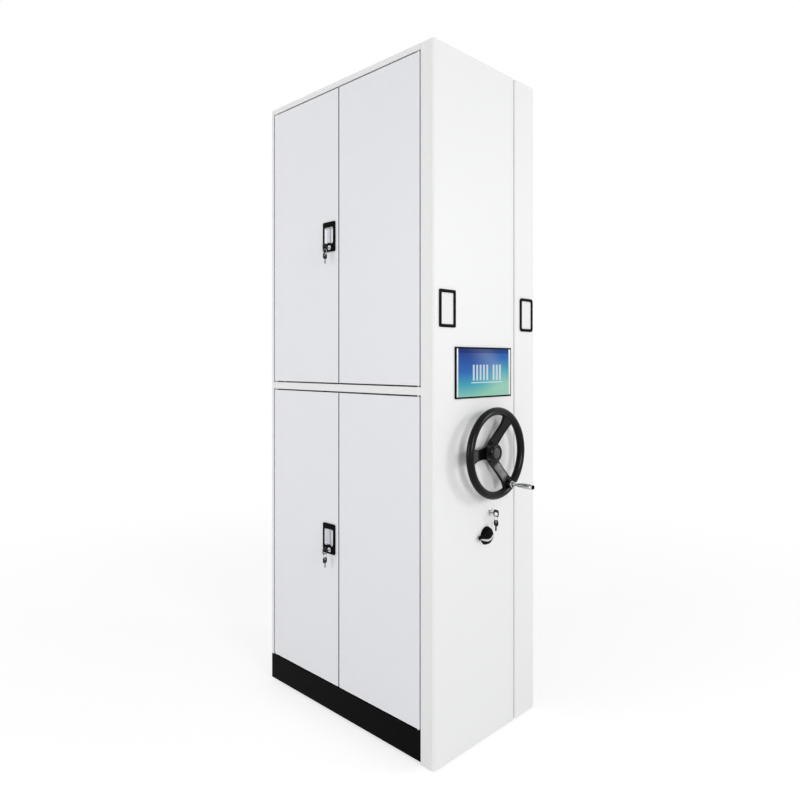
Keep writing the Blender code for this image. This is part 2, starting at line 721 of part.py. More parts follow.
def build_door_lock(level, door, hinge, free_edge, plate_height):
    """Black plate with a finger cup let into the door and a key plug under it."""
    prefix = f"{level}_door_lock"
    face = pivot(prefix + "_face", hinge,
                 (-PIN_DEPTH, free_edge + PLATE_FROM_EDGE + PLATE_WIDTH / 2, plate_height), DOOR_VIEW)
    plate_name = prefix + "_plate"
    plate_mesh = outline_mesh(plate_name, [rounded(PLATE_WIDTH, PLATE_HEIGHT, PLATE_CORNER)],
                              PLATE_PROUD - SEAT)
    plate = part(plate_name, plate_mesh, face, BLACK_PLASTIC, at=(0, 0, (PLATE_PROUD + SEAT) / 2))
    recess_up = PLATE_HEIGHT / 2 - RECESS_TOP_BAND - RECESS_HEIGHT / 2
    recess = outline_mesh(prefix + "_recess", [rounded(RECESS_WIDTH, RECESS_HEIGHT, RECESS_CORNER)],
                          RECESS_DEPTH * 2)
    cup_back = PLATE_PROUD - RECESS_DEPTH - CUP_WALL
    cup_front = PLATE_PROUD / 2
    cup = cup_body(prefix + "_cup", CUP_WALL, cup_front - cup_back)
    cup_place = (0, recess_up, (cup_front + cup_back) / 2)
    cup_hole = cup_body(prefix + "_cup_hole", CUP_WALL + SEAT, DOOR_THICKNESS / 2)
    plug_up = -PLATE_HEIGHT / 2 + PLUG_FROM_BOTTOM
    plug_hole = rod(prefix + "_plug_hole", PLUG_RADIUS + PLUG_GAP, -DOOR_THICKNESS / 2, PLATE_PROUD * 2,
                    PLUG_SIDES)
    hole = tool(prefix + "_plug_hole", plug_hole, face, at=(PLUG_RIGHT, plug_up, 0))
    finger_pull = tool(prefix + "_recess", recess, face, at=(0, recess_up, PLATE_PROUD))
    combine(plate, "UNION", tool(prefix + "_cup", cup, face, at=cup_place))
    combine(plate, "DIFFERENCE", finger_pull, hole)
    combine(door, "DIFFERENCE", tool(prefix + "_cup_hole", cup_hole, face, at=(0, recess_up, 0)), hole)
    build_key_plug(prefix, face, (PLUG_RIGHT, plug_up, 0), PLATE_PROUD + PLUG_PROUD, -TONGUE_DEPTH)


def cup_body(name, wall, depth):
    """Block the size of the finger recess with a wall round it."""
    outline = rounded(RECESS_WIDTH + 2 * wall, RECESS_HEIGHT + 2 * wall, RECESS_CORNER + wall)
    return outline_mesh(name, [outline], depth)


def key_outline(shank, bow_length, bow_height, window):
    """Key seen flat: the tip at x = 0, the bow at the far end, with a window set low in the bow."""
    bow = rounded(bow_length, bow_height, KEY_BOW_CORNER, (shank + bow_length / 2, 0.0))
    quarter = len(bow) // 4
    upper = bow[:quarter * 2]
    lower = bow[quarter * 2:]
    neck = [(shank, KEY_HALF_SHANK), (0.0, KEY_HALF_SHANK),
            (0.0, -KEY_HALF_SHANK), (shank, -KEY_HALF_SHANK)]
    return [upper + neck + lower, window]


def build_key_plug(prefix, face, at, plug_front, plug_back):
    """Turning plug with the key left in it, a tongue behind, and a spare key on a ring round the bow."""
    axis = pivot(prefix + "_axis", face, at)
    plug_name = prefix + "_plug"
    profile = [(0.0, plug_front), (PLUG_RADIUS, plug_front), (PLUG_RADIUS, plug_back), (0.0, plug_back)]
    plug = part(plug_name, profile_mesh(plug_name, profile, False), axis, CHROME)
    turn_profile(plug, PLUG_SIDES)
    bar_up = -KEY_BOW_HEIGHT / 2 + KEY_BAR / 2
    window_length = KEY_BOW_LENGTH - 2 * KEY_END_BAR
    window_up = -KEY_BOW_HEIGHT / 2 + KEY_BAR + KEY_WINDOW / 2
    window = rounded(window_length, KEY_WINDOW, KEY_BAR / 2, (KEY_SHANK + KEY_BOW_LENGTH / 2, window_up), 1)
    sunk = KEY_THICKNESS / 2
    shape = key_outline(KEY_SHANK + sunk, KEY_BOW_LENGTH, KEY_BOW_HEIGHT,
                        [(x + sunk, y) for x, y in window])
    key_mesh = outline_mesh(prefix + "_key", shape, KEY_THICKNESS)
    key = tool(prefix + "_key", key_mesh, axis, at=(0, 0, plug_front - sunk), turn=(0, -pi / 2, 0))
    half_tongue = TONGUE_THICKNESS / 2
    tongue_mesh = box(prefix + "_tongue", (-TONGUE_HALF_WIDTH, -TONGUE_REACH, plug_back - half_tongue),
                      (TONGUE_HALF_WIDTH, TONGUE_HALF_WIDTH, plug_back + half_tongue))
    combine(plug, "UNION", key, tool(prefix + "_tongue", tongue_mesh, axis))
    ring_axis = pivot(prefix + "_ring_axis", axis, (0, bar_up, plug_front + KEY_SHANK + KEY_BOW_LENGTH / 2))
    build_spare_key(prefix + "_spare_key", ring_axis)


def build_spare_key(name, axis):
    """Ring round the bow's lower bar, with the spare key hanging from it."""
    ring_inner = RING_RADIUS - RING_WIRE
    ring_centre = RING_HANG - ring_inner
    ring_bottom = ring_centre - RING_RADIUS
    window_length = KEY_BOW_LENGTH - 2 * KEY_END_BAR
    window = rounded(window_length, KEY_WINDOW, KEY_BAR / 2, (SPARE_BLADE + KEY_BOW_LENGTH / 2, 0.0), 1)
    shape = key_outline(SPARE_BLADE, KEY_BOW_LENGTH, SPARE_BOW_HEIGHT, window)
    spare_mesh = outline_mesh(name, shape, KEY_THICKNESS)
    tip = ring_bottom + KEY_END_BAR - SPARE_BLADE - KEY_BOW_LENGTH
    upright = Matrix(((0, 0, 1), (1, 0, 0), (0, 1, 0))).to_euler()
    spare = part(name, spare_mesh, axis, ZINC, at=(0, tip, 0), turn=upright)
    shape_ring = torus_mesh(name + "_ring", RING_RADIUS, RING_WIRE, RING_SIDES, RING_WIRE_SIDES)
    combine(spare, "UNION", tool(name + "_ring", shape_ring, axis, at=(0, ring_centre, 0)))


def torus_mesh(name, radius, tube, sides, tube_sides):
    bpy.ops.mesh.primitive_torus_add(major_radius=radius, minor_radius=tube, major_segments=sides,
                                     minor_segments=tube_sides)
    made = bpy.context.object
    mesh = made.data
    mesh.name = name
    bpy.data.objects.remove(made)
    return mesh


def build_panel_lock():
    """Lock barrel in the end panel, with its plug, key and spare key."""
    barrel_name = "panel_lock_barrel"
    bore = PLUG_RADIUS + PLUG_GAP
    profile = [(bore, BARREL_FLANGE), (BARREL_FLANGE_RADIUS, BARREL_FLANGE),
               (BARREL_FLANGE_RADIUS, SEAT), (BARREL_RADIUS, SEAT),
               (BARREL_RADIUS, -BARREL_DEPTH), (bore, -BARREL_DEPTH)]
    barrel = part(barrel_name, profile_mesh(barrel_name, profile, True), FRONT, CHROME,
                  at=(PANEL_LOCK_X, PANEL_LOCK_Z, 0))
    turn_profile(barrel, PLUG_SIDES)
    build_key_plug("panel_lock", FRONT, (PANEL_LOCK_X, PANEL_LOCK_Z, 0), BARREL_FLANGE + PLUG_PROUD,
                   -BARREL_DEPTH - TONGUE_THICKNESS)


def build_end_panels():
    """Main and side sheets of the end panel, with the holes for the controls."""
    seam = DOOR_FACE + SEAM_FROM_DOORS
    panels = {}
    for name, left, right in (("main_end_panel", DOOR_FACE, seam - SEAM_GAP / 2),
                              ("side_end_panel", seam + SEAM_GAP / 2, AISLE_FACE)):
        mesh = pan(name, (left, 0.0, PANEL_FLOOR_GAP), (right, PANEL_DEPTH, UNIT_HEIGHT), (0, 1, 0),
                   PANEL_LIP, PANEL_CORNER)
        panels[name] = part(name, mesh, ROOT, WHITE_ENAMEL)
        fold(panels[name], PANEL_SHEET)
    main = panels["main_end_panel"]
    half_width = SCREEN_WIDTH / 2 - SCREEN_BODY_MARGIN + SEAT
    half_height = SCREEN_HEIGHT / 2 - SCREEN_BODY_MARGIN + SEAT
    depth = PANEL_SHEET * 2
    screen_hole = box("screen_hole", (-half_width, -half_height, -depth), (half_width, half_height, depth))
    combine(main, "DIFFERENCE", tool("screen_hole", screen_hole, FRONT, at=(SCREEN_X, SCREEN_Z, 0)))
    for name, x, z, radius, sides in (
            ("shaft_hole", WHEEL_X, WHEEL_Z, SHAFT_RADIUS + SHAFT_HOLE_GAP, SHAFT_SIDES),
            ("brake_hole", BRAKE_X, BRAKE_Z, SPINDLE_RADIUS + PLUG_GAP, PLUG_SIDES),
            ("panel_lock_hole", PANEL_LOCK_X, PANEL_LOCK_Z, BARREL_RADIUS + SEAT, PLUG_SIDES)):
        hole = tool(name, rod(name, radius, -depth, depth, sides), FRONT, at=(x, z, 0))
        combine(main, "DIFFERENCE", hole)


def build_labels():
    """Two open frames that hold the index cards."""
    for name, x in (("left_label_frame", DOOR_FACE + LABEL_FROM_DOORS),
                    ("right_label_frame", AISLE_FACE - LABEL_FROM_AISLE)):
        outer = rounded(LABEL_WIDTH, LABEL_HEIGHT, LABEL_CORNER)
        inner = rounded(LABEL_WIDTH - 2 * LABEL_BORDER, LABEL_HEIGHT - 2 * LABEL_BORDER,
                        LABEL_CORNER / 2)
        mesh = outline_mesh(name, [outer, inner], LABEL_THICKNESS)
        part(name, mesh, FRONT, BLACK_PLASTIC, at=(x, LABEL_Z, SEAT + LABEL_THICKNESS / 2))


def build_screen():
    """Screen case through the end panel, with its glass set in the front."""
    place = pivot("screen_face", FRONT, (SCREEN_X, SCREEN_Z, 0))
    half_width = SCREEN_WIDTH / 2
    half_height = SCREEN_HEIGHT / 2
    case_mesh = box("screen_housing", (-half_width, -half_height, SEAT),
                    (half_width, half_height, SCREEN_PROUD))
    case = part("screen_housing", case_mesh, place, BLACK_PLASTIC)
    body_width = half_width - SCREEN_BODY_MARGIN
    body_height = half_height - SCREEN_BODY_MARGIN
    body = box("screen_body", (-body_width, -body_height, -SCREEN_BODY_DEPTH),
               (body_width, body_height, SCREEN_PROUD - GLASS_THICKNESS))
    glass_width = half_width - SCREEN_BORDER
    glass_height = half_height - SCREEN_BORDER
    glass_back = SCREEN_PROUD - GLASS_THICKNESS
    pocket = box("screen_pocket", (-glass_width, -glass_height, glass_back),
                 (glass_width, glass_height, SCREEN_PROUD * 2))
    combine(case, "UNION", tool("screen_body", body, place))
    combine(case, "DIFFERENCE", tool("screen_pocket", pocket, place))
    glass = box("screen_glass", (-glass_width + SEAT, -glass_height + SEAT, glass_back + SEAT),
                (glass_width - SEAT, glass_height - SEAT, SCREEN_PROUD - SEAT))
    part("screen_glass", glass, place, DARK_GLASS)


def chain_frame():
    """Sprocket centres in the front view, and the angles at which the chain leaves them."""
    upper = Vector((WHEEL_X, WHEEL_Z))
    lower = Vector((-AXLE_OFFSET, AXLE_Z))
    run = lower - upper
    heading = atan2(run.y, run.x)
    spread = acos((UPPER_PITCH_RADIUS - LOWER_PITCH_RADIUS) / run.length)
    return upper, lower, heading, spread


def chain_loop(offset):
    upper, lower, heading, spread = chain_frame()
    top = arc(upper, UPPER_PITCH_RADIUS + offset, heading + spread, heading - spread + tau,
              CHAIN_TURN_STEPS)
    bottom = arc(lower, LOWER_PITCH_RADIUS + offset, heading - spread, heading + spread,
                 CHAIN_TURN_STEPS)
    return top + bottom


def build_chain_drive():
    """Roller chain, two sprockets, the handwheel's shaft and its bearing on the front wall."""
    upper, lower, heading, spread = chain_frame()
    half_height = CHAIN_PLATE_HEIGHT / 2
    loops = [chain_loop(half_height), chain_loop(-half_height)]
    plate_middle = (CHAIN_INNER_WIDTH + CHAIN_PLATE) / 2
    chain = part("drive_chain", outline_mesh("drive_chain", loops, CHAIN_PLATE), FRONT, ZINC,
                 at=(0, 0, -CHAIN_PLANE + plate_middle))
    second = tool("chain_second_plate", outline_mesh("chain_second_plate", loops, CHAIN_PLATE), FRONT,
                  at=(0, 0, -CHAIN_PLANE - plate_middle))
    centres = []
    for angle in (heading + spread, heading - spread):
        normal = Vector((cos(angle), sin(angle)))
        start = upper + normal * UPPER_PITCH_RADIUS
        end = lower + normal * LOWER_PITCH_RADIUS
        length = (end - start).length
        count = int(length / CHAIN_PITCH)
        margin = (length - (count - 2) * CHAIN_PITCH) / 2
        along = (end - start).normalized()
        centres += [tuple(start + along * (margin + k * CHAIN_PITCH)) for k in range(count - 1)]
    roller_mesh = rods("chain_rollers", centres, ROLLER_RADIUS, -plate_middle, plate_middle, ROLLER_SIDES)
    rollers = tool("chain_rollers", roller_mesh, FRONT, at=(0, 0, -CHAIN_PLANE))
    combine(chain, "UNION", rollers, second)

    for name, place, radius, teeth, bore, sides in (
            ("upper_sprocket", upper, UPPER_PITCH_RADIUS, UPPER_TEETH, SHAFT_RADIUS, SHAFT_SIDES),
            ("lower_sprocket", lower, LOWER_PITCH_RADIUS, LOWER_TEETH, AXLE_RADIUS, WHEEL_SIDES)):
        hole = arc((0.0, 0.0), bore + SEAT, 0.0, tau, sides)[:-1]
        mesh = outline_mesh(name, [sprocket_outline(radius, teeth), hole], SPROCKET_THICKNESS)
        part(name, mesh, FRONT, CAST_IRON, at=(*place, -CHAIN_PLANE))


def sprocket_outline(pitch_radius, teeth):
    """Straight-flanked teeth: root, two points on the tip, root."""
    root = pitch_radius - ROLLER_RADIUS
    tip = pitch_radius + TOOTH_HEIGHT
    step = tau / teeth
    points = []
    for k in range(teeth):
        for share, radius in ((-TOOTH_ROOT_SHARE, root), (-TOOTH_TIP_SHARE, tip),
                              (TOOTH_TIP_SHARE, tip), (TOOTH_ROOT_SHARE, root)):
            angle = (k + share) * step
            points.append((radius * cos(angle), radius * sin(angle)))
    return points


def build_shaft():
    """Shaft from the handwheel's hub back to its flanged bearing on the front wall."""
    axis = pivot("handwheel_axis", FRONT, (WHEEL_X, WHEEL_Z, 0))
    wall_front = FRONT_INNER - WALL_SHEET
    shaft_end = -(wall_front - SHAFT_END_INSET)
    hub_end = HUB_BACK + BORE_DEPTH - SEAT
    shaft_mesh = rod("handwheel_shaft", SHAFT_RADIUS, shaft_end, hub_end, SHAFT_SIDES)
    smooth(part("handwheel_shaft", shaft_mesh, axis, ZINC))
    bore = SHAFT_RADIUS + SEAT
    back = -(wall_front - SEAT)
    front = back + SHAFT_BEARING_LENGTH
    step = back + SHAFT_BEARING_FLANGE
    profile = [(bore, front), (SHAFT_BEARING_HUB, front), (SHAFT_BEARING_HUB, step),
               (SHAFT_BEARING_RADIUS, step), (SHAFT_BEARING_RADIUS, back), (bore, back)]
    bearing = part("shaft_bearing", profile_mesh("shaft_bearing", profile, True), axis, CAST_IRON)
    turn_profile(bearing, SHAFT_SIDES)
    return axis


def spoke_mesh(name):
    """Dished spoke along local X, lofted from the hub out into the rim and flared at both ends."""
    inner = HUB_RADIUS / 2
    outer = RIM_RADIUS - RIM_TUBE / 3
    shape = bmesh.new()
    rings = []
    for k in range(SPOKE_STATIONS + 1):
        share = k / SPOKE_STATIONS
        at_hub = SPOKE_HUB_FLARE * (1 - share) ** SPOKE_HUB_CURVE
        at_rim = SPOKE_RIM_FLARE * share ** SPOKE_RIM_CURVE
        half = SPOKE_HALF_WIDTH + at_hub + at_rim
        middle = DISH_OUT + (RIM_OUT - DISH_OUT) * share * share * (3 - 2 * share)
        front = middle + SPOKE_THICKNESS / 2
        back = middle - SPOKE_THICKNESS / 2
        section = [(-half, back), (-half, front - SPOKE_EDGE), (-half + SPOKE_EDGE, front),
                   (half - SPOKE_EDGE, front), (half, front - SPOKE_EDGE), (half, back)]
        x = inner + (outer - inner) * share
        rings.append([shape.verts.new((x, across, out)) for across, out in section])
    for first, second in zip(rings, rings[1:]):
        for k in range(len(first)):
            shape.faces.new((first[k - 1], second[k - 1], second[k], first[k]))
    shape.faces.new(rings[0])
    shape.faces.new(rings[-1])
    bmesh.ops.recalc_face_normals(shape, faces=shape.faces)
    return mesh_of(name, shape)


def build_handwheel(axis):
    """Moulded wheel with three dished spokes, a hub cap and a crank that folds in over a spoke."""
    rim = torus_mesh("handwheel", RIM_RADIUS, RIM_TUBE, RIM_SIDES, RIM_TUBE_SIDES)
    wheel = part("handwheel", rim, axis, BLACK_PLASTIC, at=(0, 0, RIM_OUT))
    smooth(wheel)
    for k in range(SPOKE_COUNT):
        angle = SPOKE_FIRST + k * tau / SPOKE_COUNT
        name = f"spoke_{k + 1}"
        combine(wheel, "UNION", tool(name, spoke_mesh(name), axis, turn=(0, 0, angle)))
    hub_profile = [(0.0, HUB_FRONT), (HUB_RADIUS, HUB_FRONT), (HUB_RADIUS, HUB_SHOULDER),
                   (HUB_NECK, HUB_SHOULDER - HUB_TAPER), (HUB_NECK, HUB_BACK), (0.0, HUB_BACK)]
    hub = tool("handwheel_hub", profile_mesh("handwheel_hub", hub_profile, False), axis)
    turn_profile(hub, HUB_SIDES)
    boss_at = (CRANK_RADIUS * cos(CRANK_ANGLE), CRANK_RADIUS * sin(CRANK_ANGLE), 0)
    boss_mesh = rod("crank_boss", BOSS_RADIUS, RIM_OUT, BOSS_FRONT, CRANK_SIDES)
    boss = tool("crank_boss", boss_mesh, axis, at=boss_at)
    bore_mesh = rod("shaft_bore", SHAFT_RADIUS + SEAT, 0.0, HUB_BACK + BORE_DEPTH, SHAFT_SIDES)
    combine(wheel, "UNION", hub, boss)
    combine(wheel, "DIFFERENCE", tool("shaft_bore", bore_mesh, axis))

    cap_base = HUB_FRONT + SEAT
    cap_top = cap_base + CAP_HEIGHT
    crown = [(0.0, cap_top), (CAP_CROWN_RADIUS, cap_top), (CAP_RADIUS, cap_top - CAP_EDGE),
             (CAP_RADIUS, cap_base), (0.0, cap_base)]
    cap = part("hub_cap", profile_mesh("hub_cap", crown, False), axis, GREY_PLASTIC)
    turn_profile(cap, HUB_SIDES)
    build_crank(axis, boss_at)


def build_crank(axis, boss_at):
    """Clevis on the wheel, spindle that folds on a cross pin, and a grip that spins on it."""
    clevis_base = -FOLD_AXIS_HEIGHT
    base_top = clevis_base + CLEVIS_BASE
    fold_at = (boss_at[0], boss_at[1], FOLD_AXIS_OUT)
    fold_axis = pivot("crank_fold_axis", axis, fold_at, (0, 0, CRANK_ANGLE))
    clevis_mesh = rod("crank_pivot", CLEVIS_RADIUS, clevis_base, base_top, CRANK_SIDES)
    clevis = part("crank_pivot", clevis_mesh, fold_axis, CHROME)
    inner = CLEVIS_GAP / 2
    outer = inner + EAR_THICKNESS
    sunk = clevis_base + CLEVIS_BASE / 2
    ears = boxes("crank_ears", [((-EAR_HALF_WIDTH, low, sunk), (EAR_HALF_WIDTH, high, EAR_HALF_WIDTH))
                                for low, high in ((inner, outer), (-outer, -inner))])
    pin_hole = rod("fold_pin_hole", FOLD_PIN_RADIUS + SEAT, -outer * 2, outer * 2, CRANK_SIDES)
    combine(clevis, "UNION", tool("crank_ears", ears, fold_axis))
    combine(clevis, "DIFFERENCE", tool("fold_pin_hole", pin_hole, fold_axis, turn=(pi / 2, 0, 0)))

    head_start = CRANK_LENGTH - CRANK_HEAD
    rod_profile = [(0.0, CRANK_LENGTH), (CRANK_TIP_RADIUS, CRANK_LENGTH),
                   (CRANK_HEAD_RADIUS, CRANK_LENGTH - CRANK_TIP_EDGE), (CRANK_HEAD_RADIUS, head_start),
                   (CRANK_ROD_RADIUS, head_start), (CRANK_ROD_RADIUS, CRANK_ROD_START),
                   (0.0, CRANK_ROD_START)]
    spindle = part("crank_spindle", profile_mesh("crank_spindle", rod_profile, False), fold_axis, CHROME)
    turn_profile(spindle, CRANK_SIDES)
    half_eye = inner - SEAT
    eye = tool("crank_eye", rod("crank_eye", EYE_RADIUS, -half_eye, half_eye, CRANK_SIDES), fold_axis,
               turn=(pi / 2, 0, 0))
    pin = tool("fold_pin", rod("fold_pin", FOLD_PIN_RADIUS, -outer, outer, CRANK_SIDES), fold_axis,
               turn=(pi / 2, 0, 0))
    tongue_mesh = box("crank_tongue", (-CRANK_TONGUE_HALF, -half_eye, 0.0),
                      (CRANK_TONGUE_HALF, half_eye, CRANK_ROD_START + CRANK_TONGUE_HALF))
    combine(spindle, "UNION", eye, tool("crank_tongue", tongue_mesh, fold_axis), pin)

    bore = CRANK_ROD_RADIUS + SEAT
    grip_end = head_start - SEAT
    middle = (GRIP_START + grip_end) / 2
    grip_profile = [(bore, grip_end), (GRIP_END_RADIUS, grip_end), (GRIP_RADIUS, grip_end - GRIP_EDGE),
                    (GRIP_RADIUS, middle), (GRIP_WAIST_RADIUS, GRIP_START), (bore, GRIP_START)]
    grip = part("crank_grip", profile_mesh("crank_grip", grip_profile, True), fold_axis, CHROME)
    turn_profile(grip, CRANK_SIDES)


def build_brake():
    """Brake knob on a round plate; its pawl turns to the chain behind the panel."""
    axis = pivot("brake_axis", FRONT, (BRAKE_X, BRAKE_Z, 0))
    bore = SPINDLE_RADIUS + PLUG_GAP
    plate_profile = [(bore, ESCUTCHEON_THICKNESS), (ESCUTCHEON_RADIUS, ESCUTCHEON_THICKNESS),
                     (ESCUTCHEON_RADIUS, SEAT), (bore, SEAT)]
    plate_mesh = profile_mesh("brake_escutcheon", plate_profile, True)
    plate = part("brake_escutcheon", plate_mesh, axis, BLACK_PLASTIC)
    turn_profile(plate, KNOB_SIDES)
    base = ESCUTCHEON_THICKNESS + SEAT
    top = base + KNOB_HEIGHT
    inner_end = -CHAIN_PLANE - PAWL_THICKNESS / 2
    profile = [(0.0, top), (KNOB_CROWN_RADIUS, top), (KNOB_TOP_RADIUS, top - KNOB_EDGE),
               (KNOB_RADIUS, base + KNOB_SKIRT), (KNOB_RADIUS, base), (SPINDLE_RADIUS, base),
               (SPINDLE_RADIUS, inner_end), (0.0, inner_end)]
    knob = part("brake_knob", profile_mesh("brake_knob", profile, False), axis, BLACK_PLASTIC)
    turn_profile(knob, KNOB_SIDES)
    lever_tip = (-LEVER_REACH + LEVER_HALF_WIDTH, 0.0)
    lever = arc(lever_tip, LEVER_HALF_WIDTH, pi / 2, 3 * pi / 2, LEVER_TIP_STEPS)
    lever += [(0.0, -LEVER_ROOT_HALF_WIDTH), (0.0, LEVER_ROOT_HALF_WIDTH)]
    lever_mesh = outline_mesh("brake_lever", [lever], LEVER_THICKNESS)
    pawl_mesh = box("brake_pawl", (-PAWL_HALF_WIDTH, 0.0, inner_end),
                    (PAWL_HALF_WIDTH, pawl_reach(), inner_end + PAWL_THICKNESS))
    combine(knob, "UNION", tool("brake_lever", lever_mesh, axis, at=(0, 0, base + LEVER_OUT)),
            tool("brake_pawl", pawl_mesh, axis))


def pawl_reach():
    """Distance from the brake axis to the near run of the chain, less a running gap."""
    upper, _, heading, spread = chain_frame()
    reaches = []
    for angle in (heading + spread, heading - spread):
        normal = Vector((cos(angle), sin(angle)))
        from_line = (Vector((BRAKE_X, BRAKE_Z)) - upper).dot(normal)
        reaches.append(from_line - UPPER_PITCH_RADIUS - CHAIN_PLATE_HEIGHT / 2)
    return max(reaches) - RUNNING_GAP


build_base_beams()
build_axles()
build_walls()
build_shelves()
build_doors()
build_end_panels()
build_labels()
build_screen()
build_chain_drive()
build_handwheel(build_shaft())
build_brake()
build_panel_lock()
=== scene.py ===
"""Looks of a double-faced carriage of compact mobile shelving.

The sections follow the carriage as it is put together: base, wheels, steel cabinet, doors and
locks, end panel, screen, chain drive, handwheel, brake and panel lock. The studio comes last.
Sizes are metres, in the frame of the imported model: +Z is up and the end panel faces -Y.
"""
import json
from math import cos, pi, radians, sin, tau

import bmesh
import bpy
from mathutils import Matrix, Vector


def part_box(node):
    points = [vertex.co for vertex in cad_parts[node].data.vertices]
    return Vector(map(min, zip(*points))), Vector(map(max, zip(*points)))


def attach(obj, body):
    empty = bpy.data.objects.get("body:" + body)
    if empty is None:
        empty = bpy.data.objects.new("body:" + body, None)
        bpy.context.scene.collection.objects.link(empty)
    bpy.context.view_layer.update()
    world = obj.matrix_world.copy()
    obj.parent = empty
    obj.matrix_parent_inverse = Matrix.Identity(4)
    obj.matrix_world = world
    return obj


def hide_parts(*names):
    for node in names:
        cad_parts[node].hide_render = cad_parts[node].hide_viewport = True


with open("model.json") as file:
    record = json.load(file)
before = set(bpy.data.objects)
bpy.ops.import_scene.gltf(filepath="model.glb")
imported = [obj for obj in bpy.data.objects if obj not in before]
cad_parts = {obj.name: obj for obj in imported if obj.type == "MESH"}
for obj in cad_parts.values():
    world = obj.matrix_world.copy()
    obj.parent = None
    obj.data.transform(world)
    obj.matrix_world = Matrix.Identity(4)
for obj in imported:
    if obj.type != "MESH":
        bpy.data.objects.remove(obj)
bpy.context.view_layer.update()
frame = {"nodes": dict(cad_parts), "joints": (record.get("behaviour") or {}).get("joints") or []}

# Base beams: folded steel channels under the cabinet, with a black powder coat baked on.
# The left one shows as the plinth under the doors; the two between them hold the wheels.
PLINTH_BLACK = (0.0014, 0.0014, 0.0015)
DARK_GLOSS = 0.03
BEAM_EDGE = 0.0009
FOLD_ANGLE = radians(35)
WELD_GAP = 0.00001


class Shade:
    """A shader value: arithmetic on it adds Math nodes, and add() makes any other node."""

    def __init__(self, tree, socket=None):
        self.tree = tree
        self.socket = socket

    def add(self, kind, settings, sockets, output=0):
        """Make a node: its settings first, then the values or links of its sockets."""
        node = self.tree.nodes.new(kind)
        for setting, value in settings.items():
            if setting == "stops":
                self.set_stops(node.color_ramp.elements, value)
            else:
                setattr(node, setting, value)
        self.feed(node.inputs, sockets)
        return Shade(self.tree, node.outputs[output])

    def set_stops(self, ramp, stops):
        """Give a colour ramp its (position, colour) stops."""
        for k, (position, colour) in enumerate(stops):
            stop = ramp[k] if k < len(ramp) else ramp.new(1.0)
            stop.position = position
            stop.color = (*colour, 1.0)

    def feed(self, inputs, values):
        """Link or set the named sockets of a node."""
        for slot, value in values.items():
            if isinstance(value, Shade):
                self.tree.links.new(value.socket, inputs[slot])
            else:
                inputs[slot].default_value = value

    def maths(self, operation, first, second=0.0):
        return self.add("ShaderNodeMath", {"operation": operation}, {0: first, 1: second})

    def __add__(self, other):
        return self.maths("ADD", self, other)

    __radd__ = __add__

    def __sub__(self, other):
        return self.maths("SUBTRACT", self, other)

    def __rsub__(self, other):
        return self.maths("SUBTRACT", other, self)

    def __mul__(self, other):
        return self.maths("MULTIPLY", self, other)

    __rmul__ = __mul__

    def __truediv__(self, other):
        return self.maths("DIVIDE", self, other)

    def noise(self, scale, detail=2.0, roughness=0.5):
        sockets = {"Vector": self, "Scale": scale, "Detail": detail, "Roughness": roughness}
        return self.add("ShaderNodeTexNoise", {}, sockets)

    def vector_maths(self, operation, second, output="Vector"):
        return self.add("ShaderNodeVectorMath", {"operation": operation}, {0: self, 1: second}, output)

    def stretched(self, x, y, z):
        return self.vector_maths("MULTIPLY", (x, y, z))

    def length(self):
        return self.vector_maths("LENGTH", (0.0, 0.0, 0.0), "Value")

    def part(self, axis):
        return self.add("ShaderNodeSeparateXYZ", {}, {0: self}, axis)

    def blend(self, first, second):
        """Colour between two others, by this value."""
        ends = [end if isinstance(end, Shade) else (*end, 1.0) for end in (first, second)]
        return self.add("ShaderNodeMix", {"data_type": "RGBA"}, {0: self, 6: ends[0], 7: ends[1]}, 2)

    def step(self, low, high):
        """Smooth step from 0 at low to 1 at high."""
        return self.add("ShaderNodeMapRange", {"interpolation_type": "SMOOTHSTEP"},
                        {"Value": self, "From Min": low, "From Max": high})

    def hump(self, start, top, fall, end):
        """Smooth rise from start to top, and smooth fall after that."""
        return self.step(start, top) * (1.0 - self.step(fall, end))

    def bump(self, depth):
        return self.add("ShaderNodeBump", {}, {"Height": self, "Strength": 1.0, "Distance": depth})


def new_finish(name):
    """A fresh material, its Principled shader, and the piece's own coordinates in metres."""
    made = bpy.data.materials.new(name)
    made.use_nodes = True
    tree = made.node_tree
    place = Shade(tree).add("ShaderNodeTexCoord", {}, {}, "Object")
    return made, tree.nodes["Principled BSDF"].inputs, place


def tinted(colour, factor):
    return tuple(channel * factor for channel in colour)


def powder_coat(name, colour, roughness, drift, gloss=0.5, gap_shade=0.0):
    """Baked powder: orange-peel skin, fine grain, drift of tone, and painted shade on side edges if
    asked.
    """
    finish, shader, place = new_finish(name)
    cloud = place.noise(2.4)
    peel = place.noise(330.0)
    grain = place.noise(1600.0, detail=1.0)
    scuffs = place.stretched(1.0, 1.0, 9.0).noise(26.0, 4.0, 0.7).step(0.62, 0.80)
    tone = cloud.blend(tinted(colour, 1.0 - drift), tinted(colour, 1.0 + drift))
    # Painted shade: faces that do not face along X, the side edges, are drawn darker towards black.
    if gap_shade:
        outward = place.add("ShaderNodeTexCoord", {}, {}, "Normal")
        on_face = place.maths("ABSOLUTE", outward.part("X")).step(0.5, 0.8)
        tone = (gap_shade * (1.0 - on_face)).blend(tone, (0.0, 0.0, 0.0))
    place.feed(shader, {"Base Color": tone,
                        "Roughness": roughness + 0.06 * (grain - 0.5) + 0.05 * scuffs,
                        "Normal": (0.75 * peel + 0.25 * grain).bump(depth=0.00010),
                        "Specular IOR Level": gloss})
    return finish


def break_edges(piece, radius, segments):
    """Round the sharp edges of a piece by a small radius."""
    soft = piece.modifiers.new("edge", "BEVEL")
    soft.width = radius
    soft.segments = segments
    soft.limit_method = "ANGLE"
    soft.angle_limit = FOLD_ANGLE
    soft.harden_normals = True


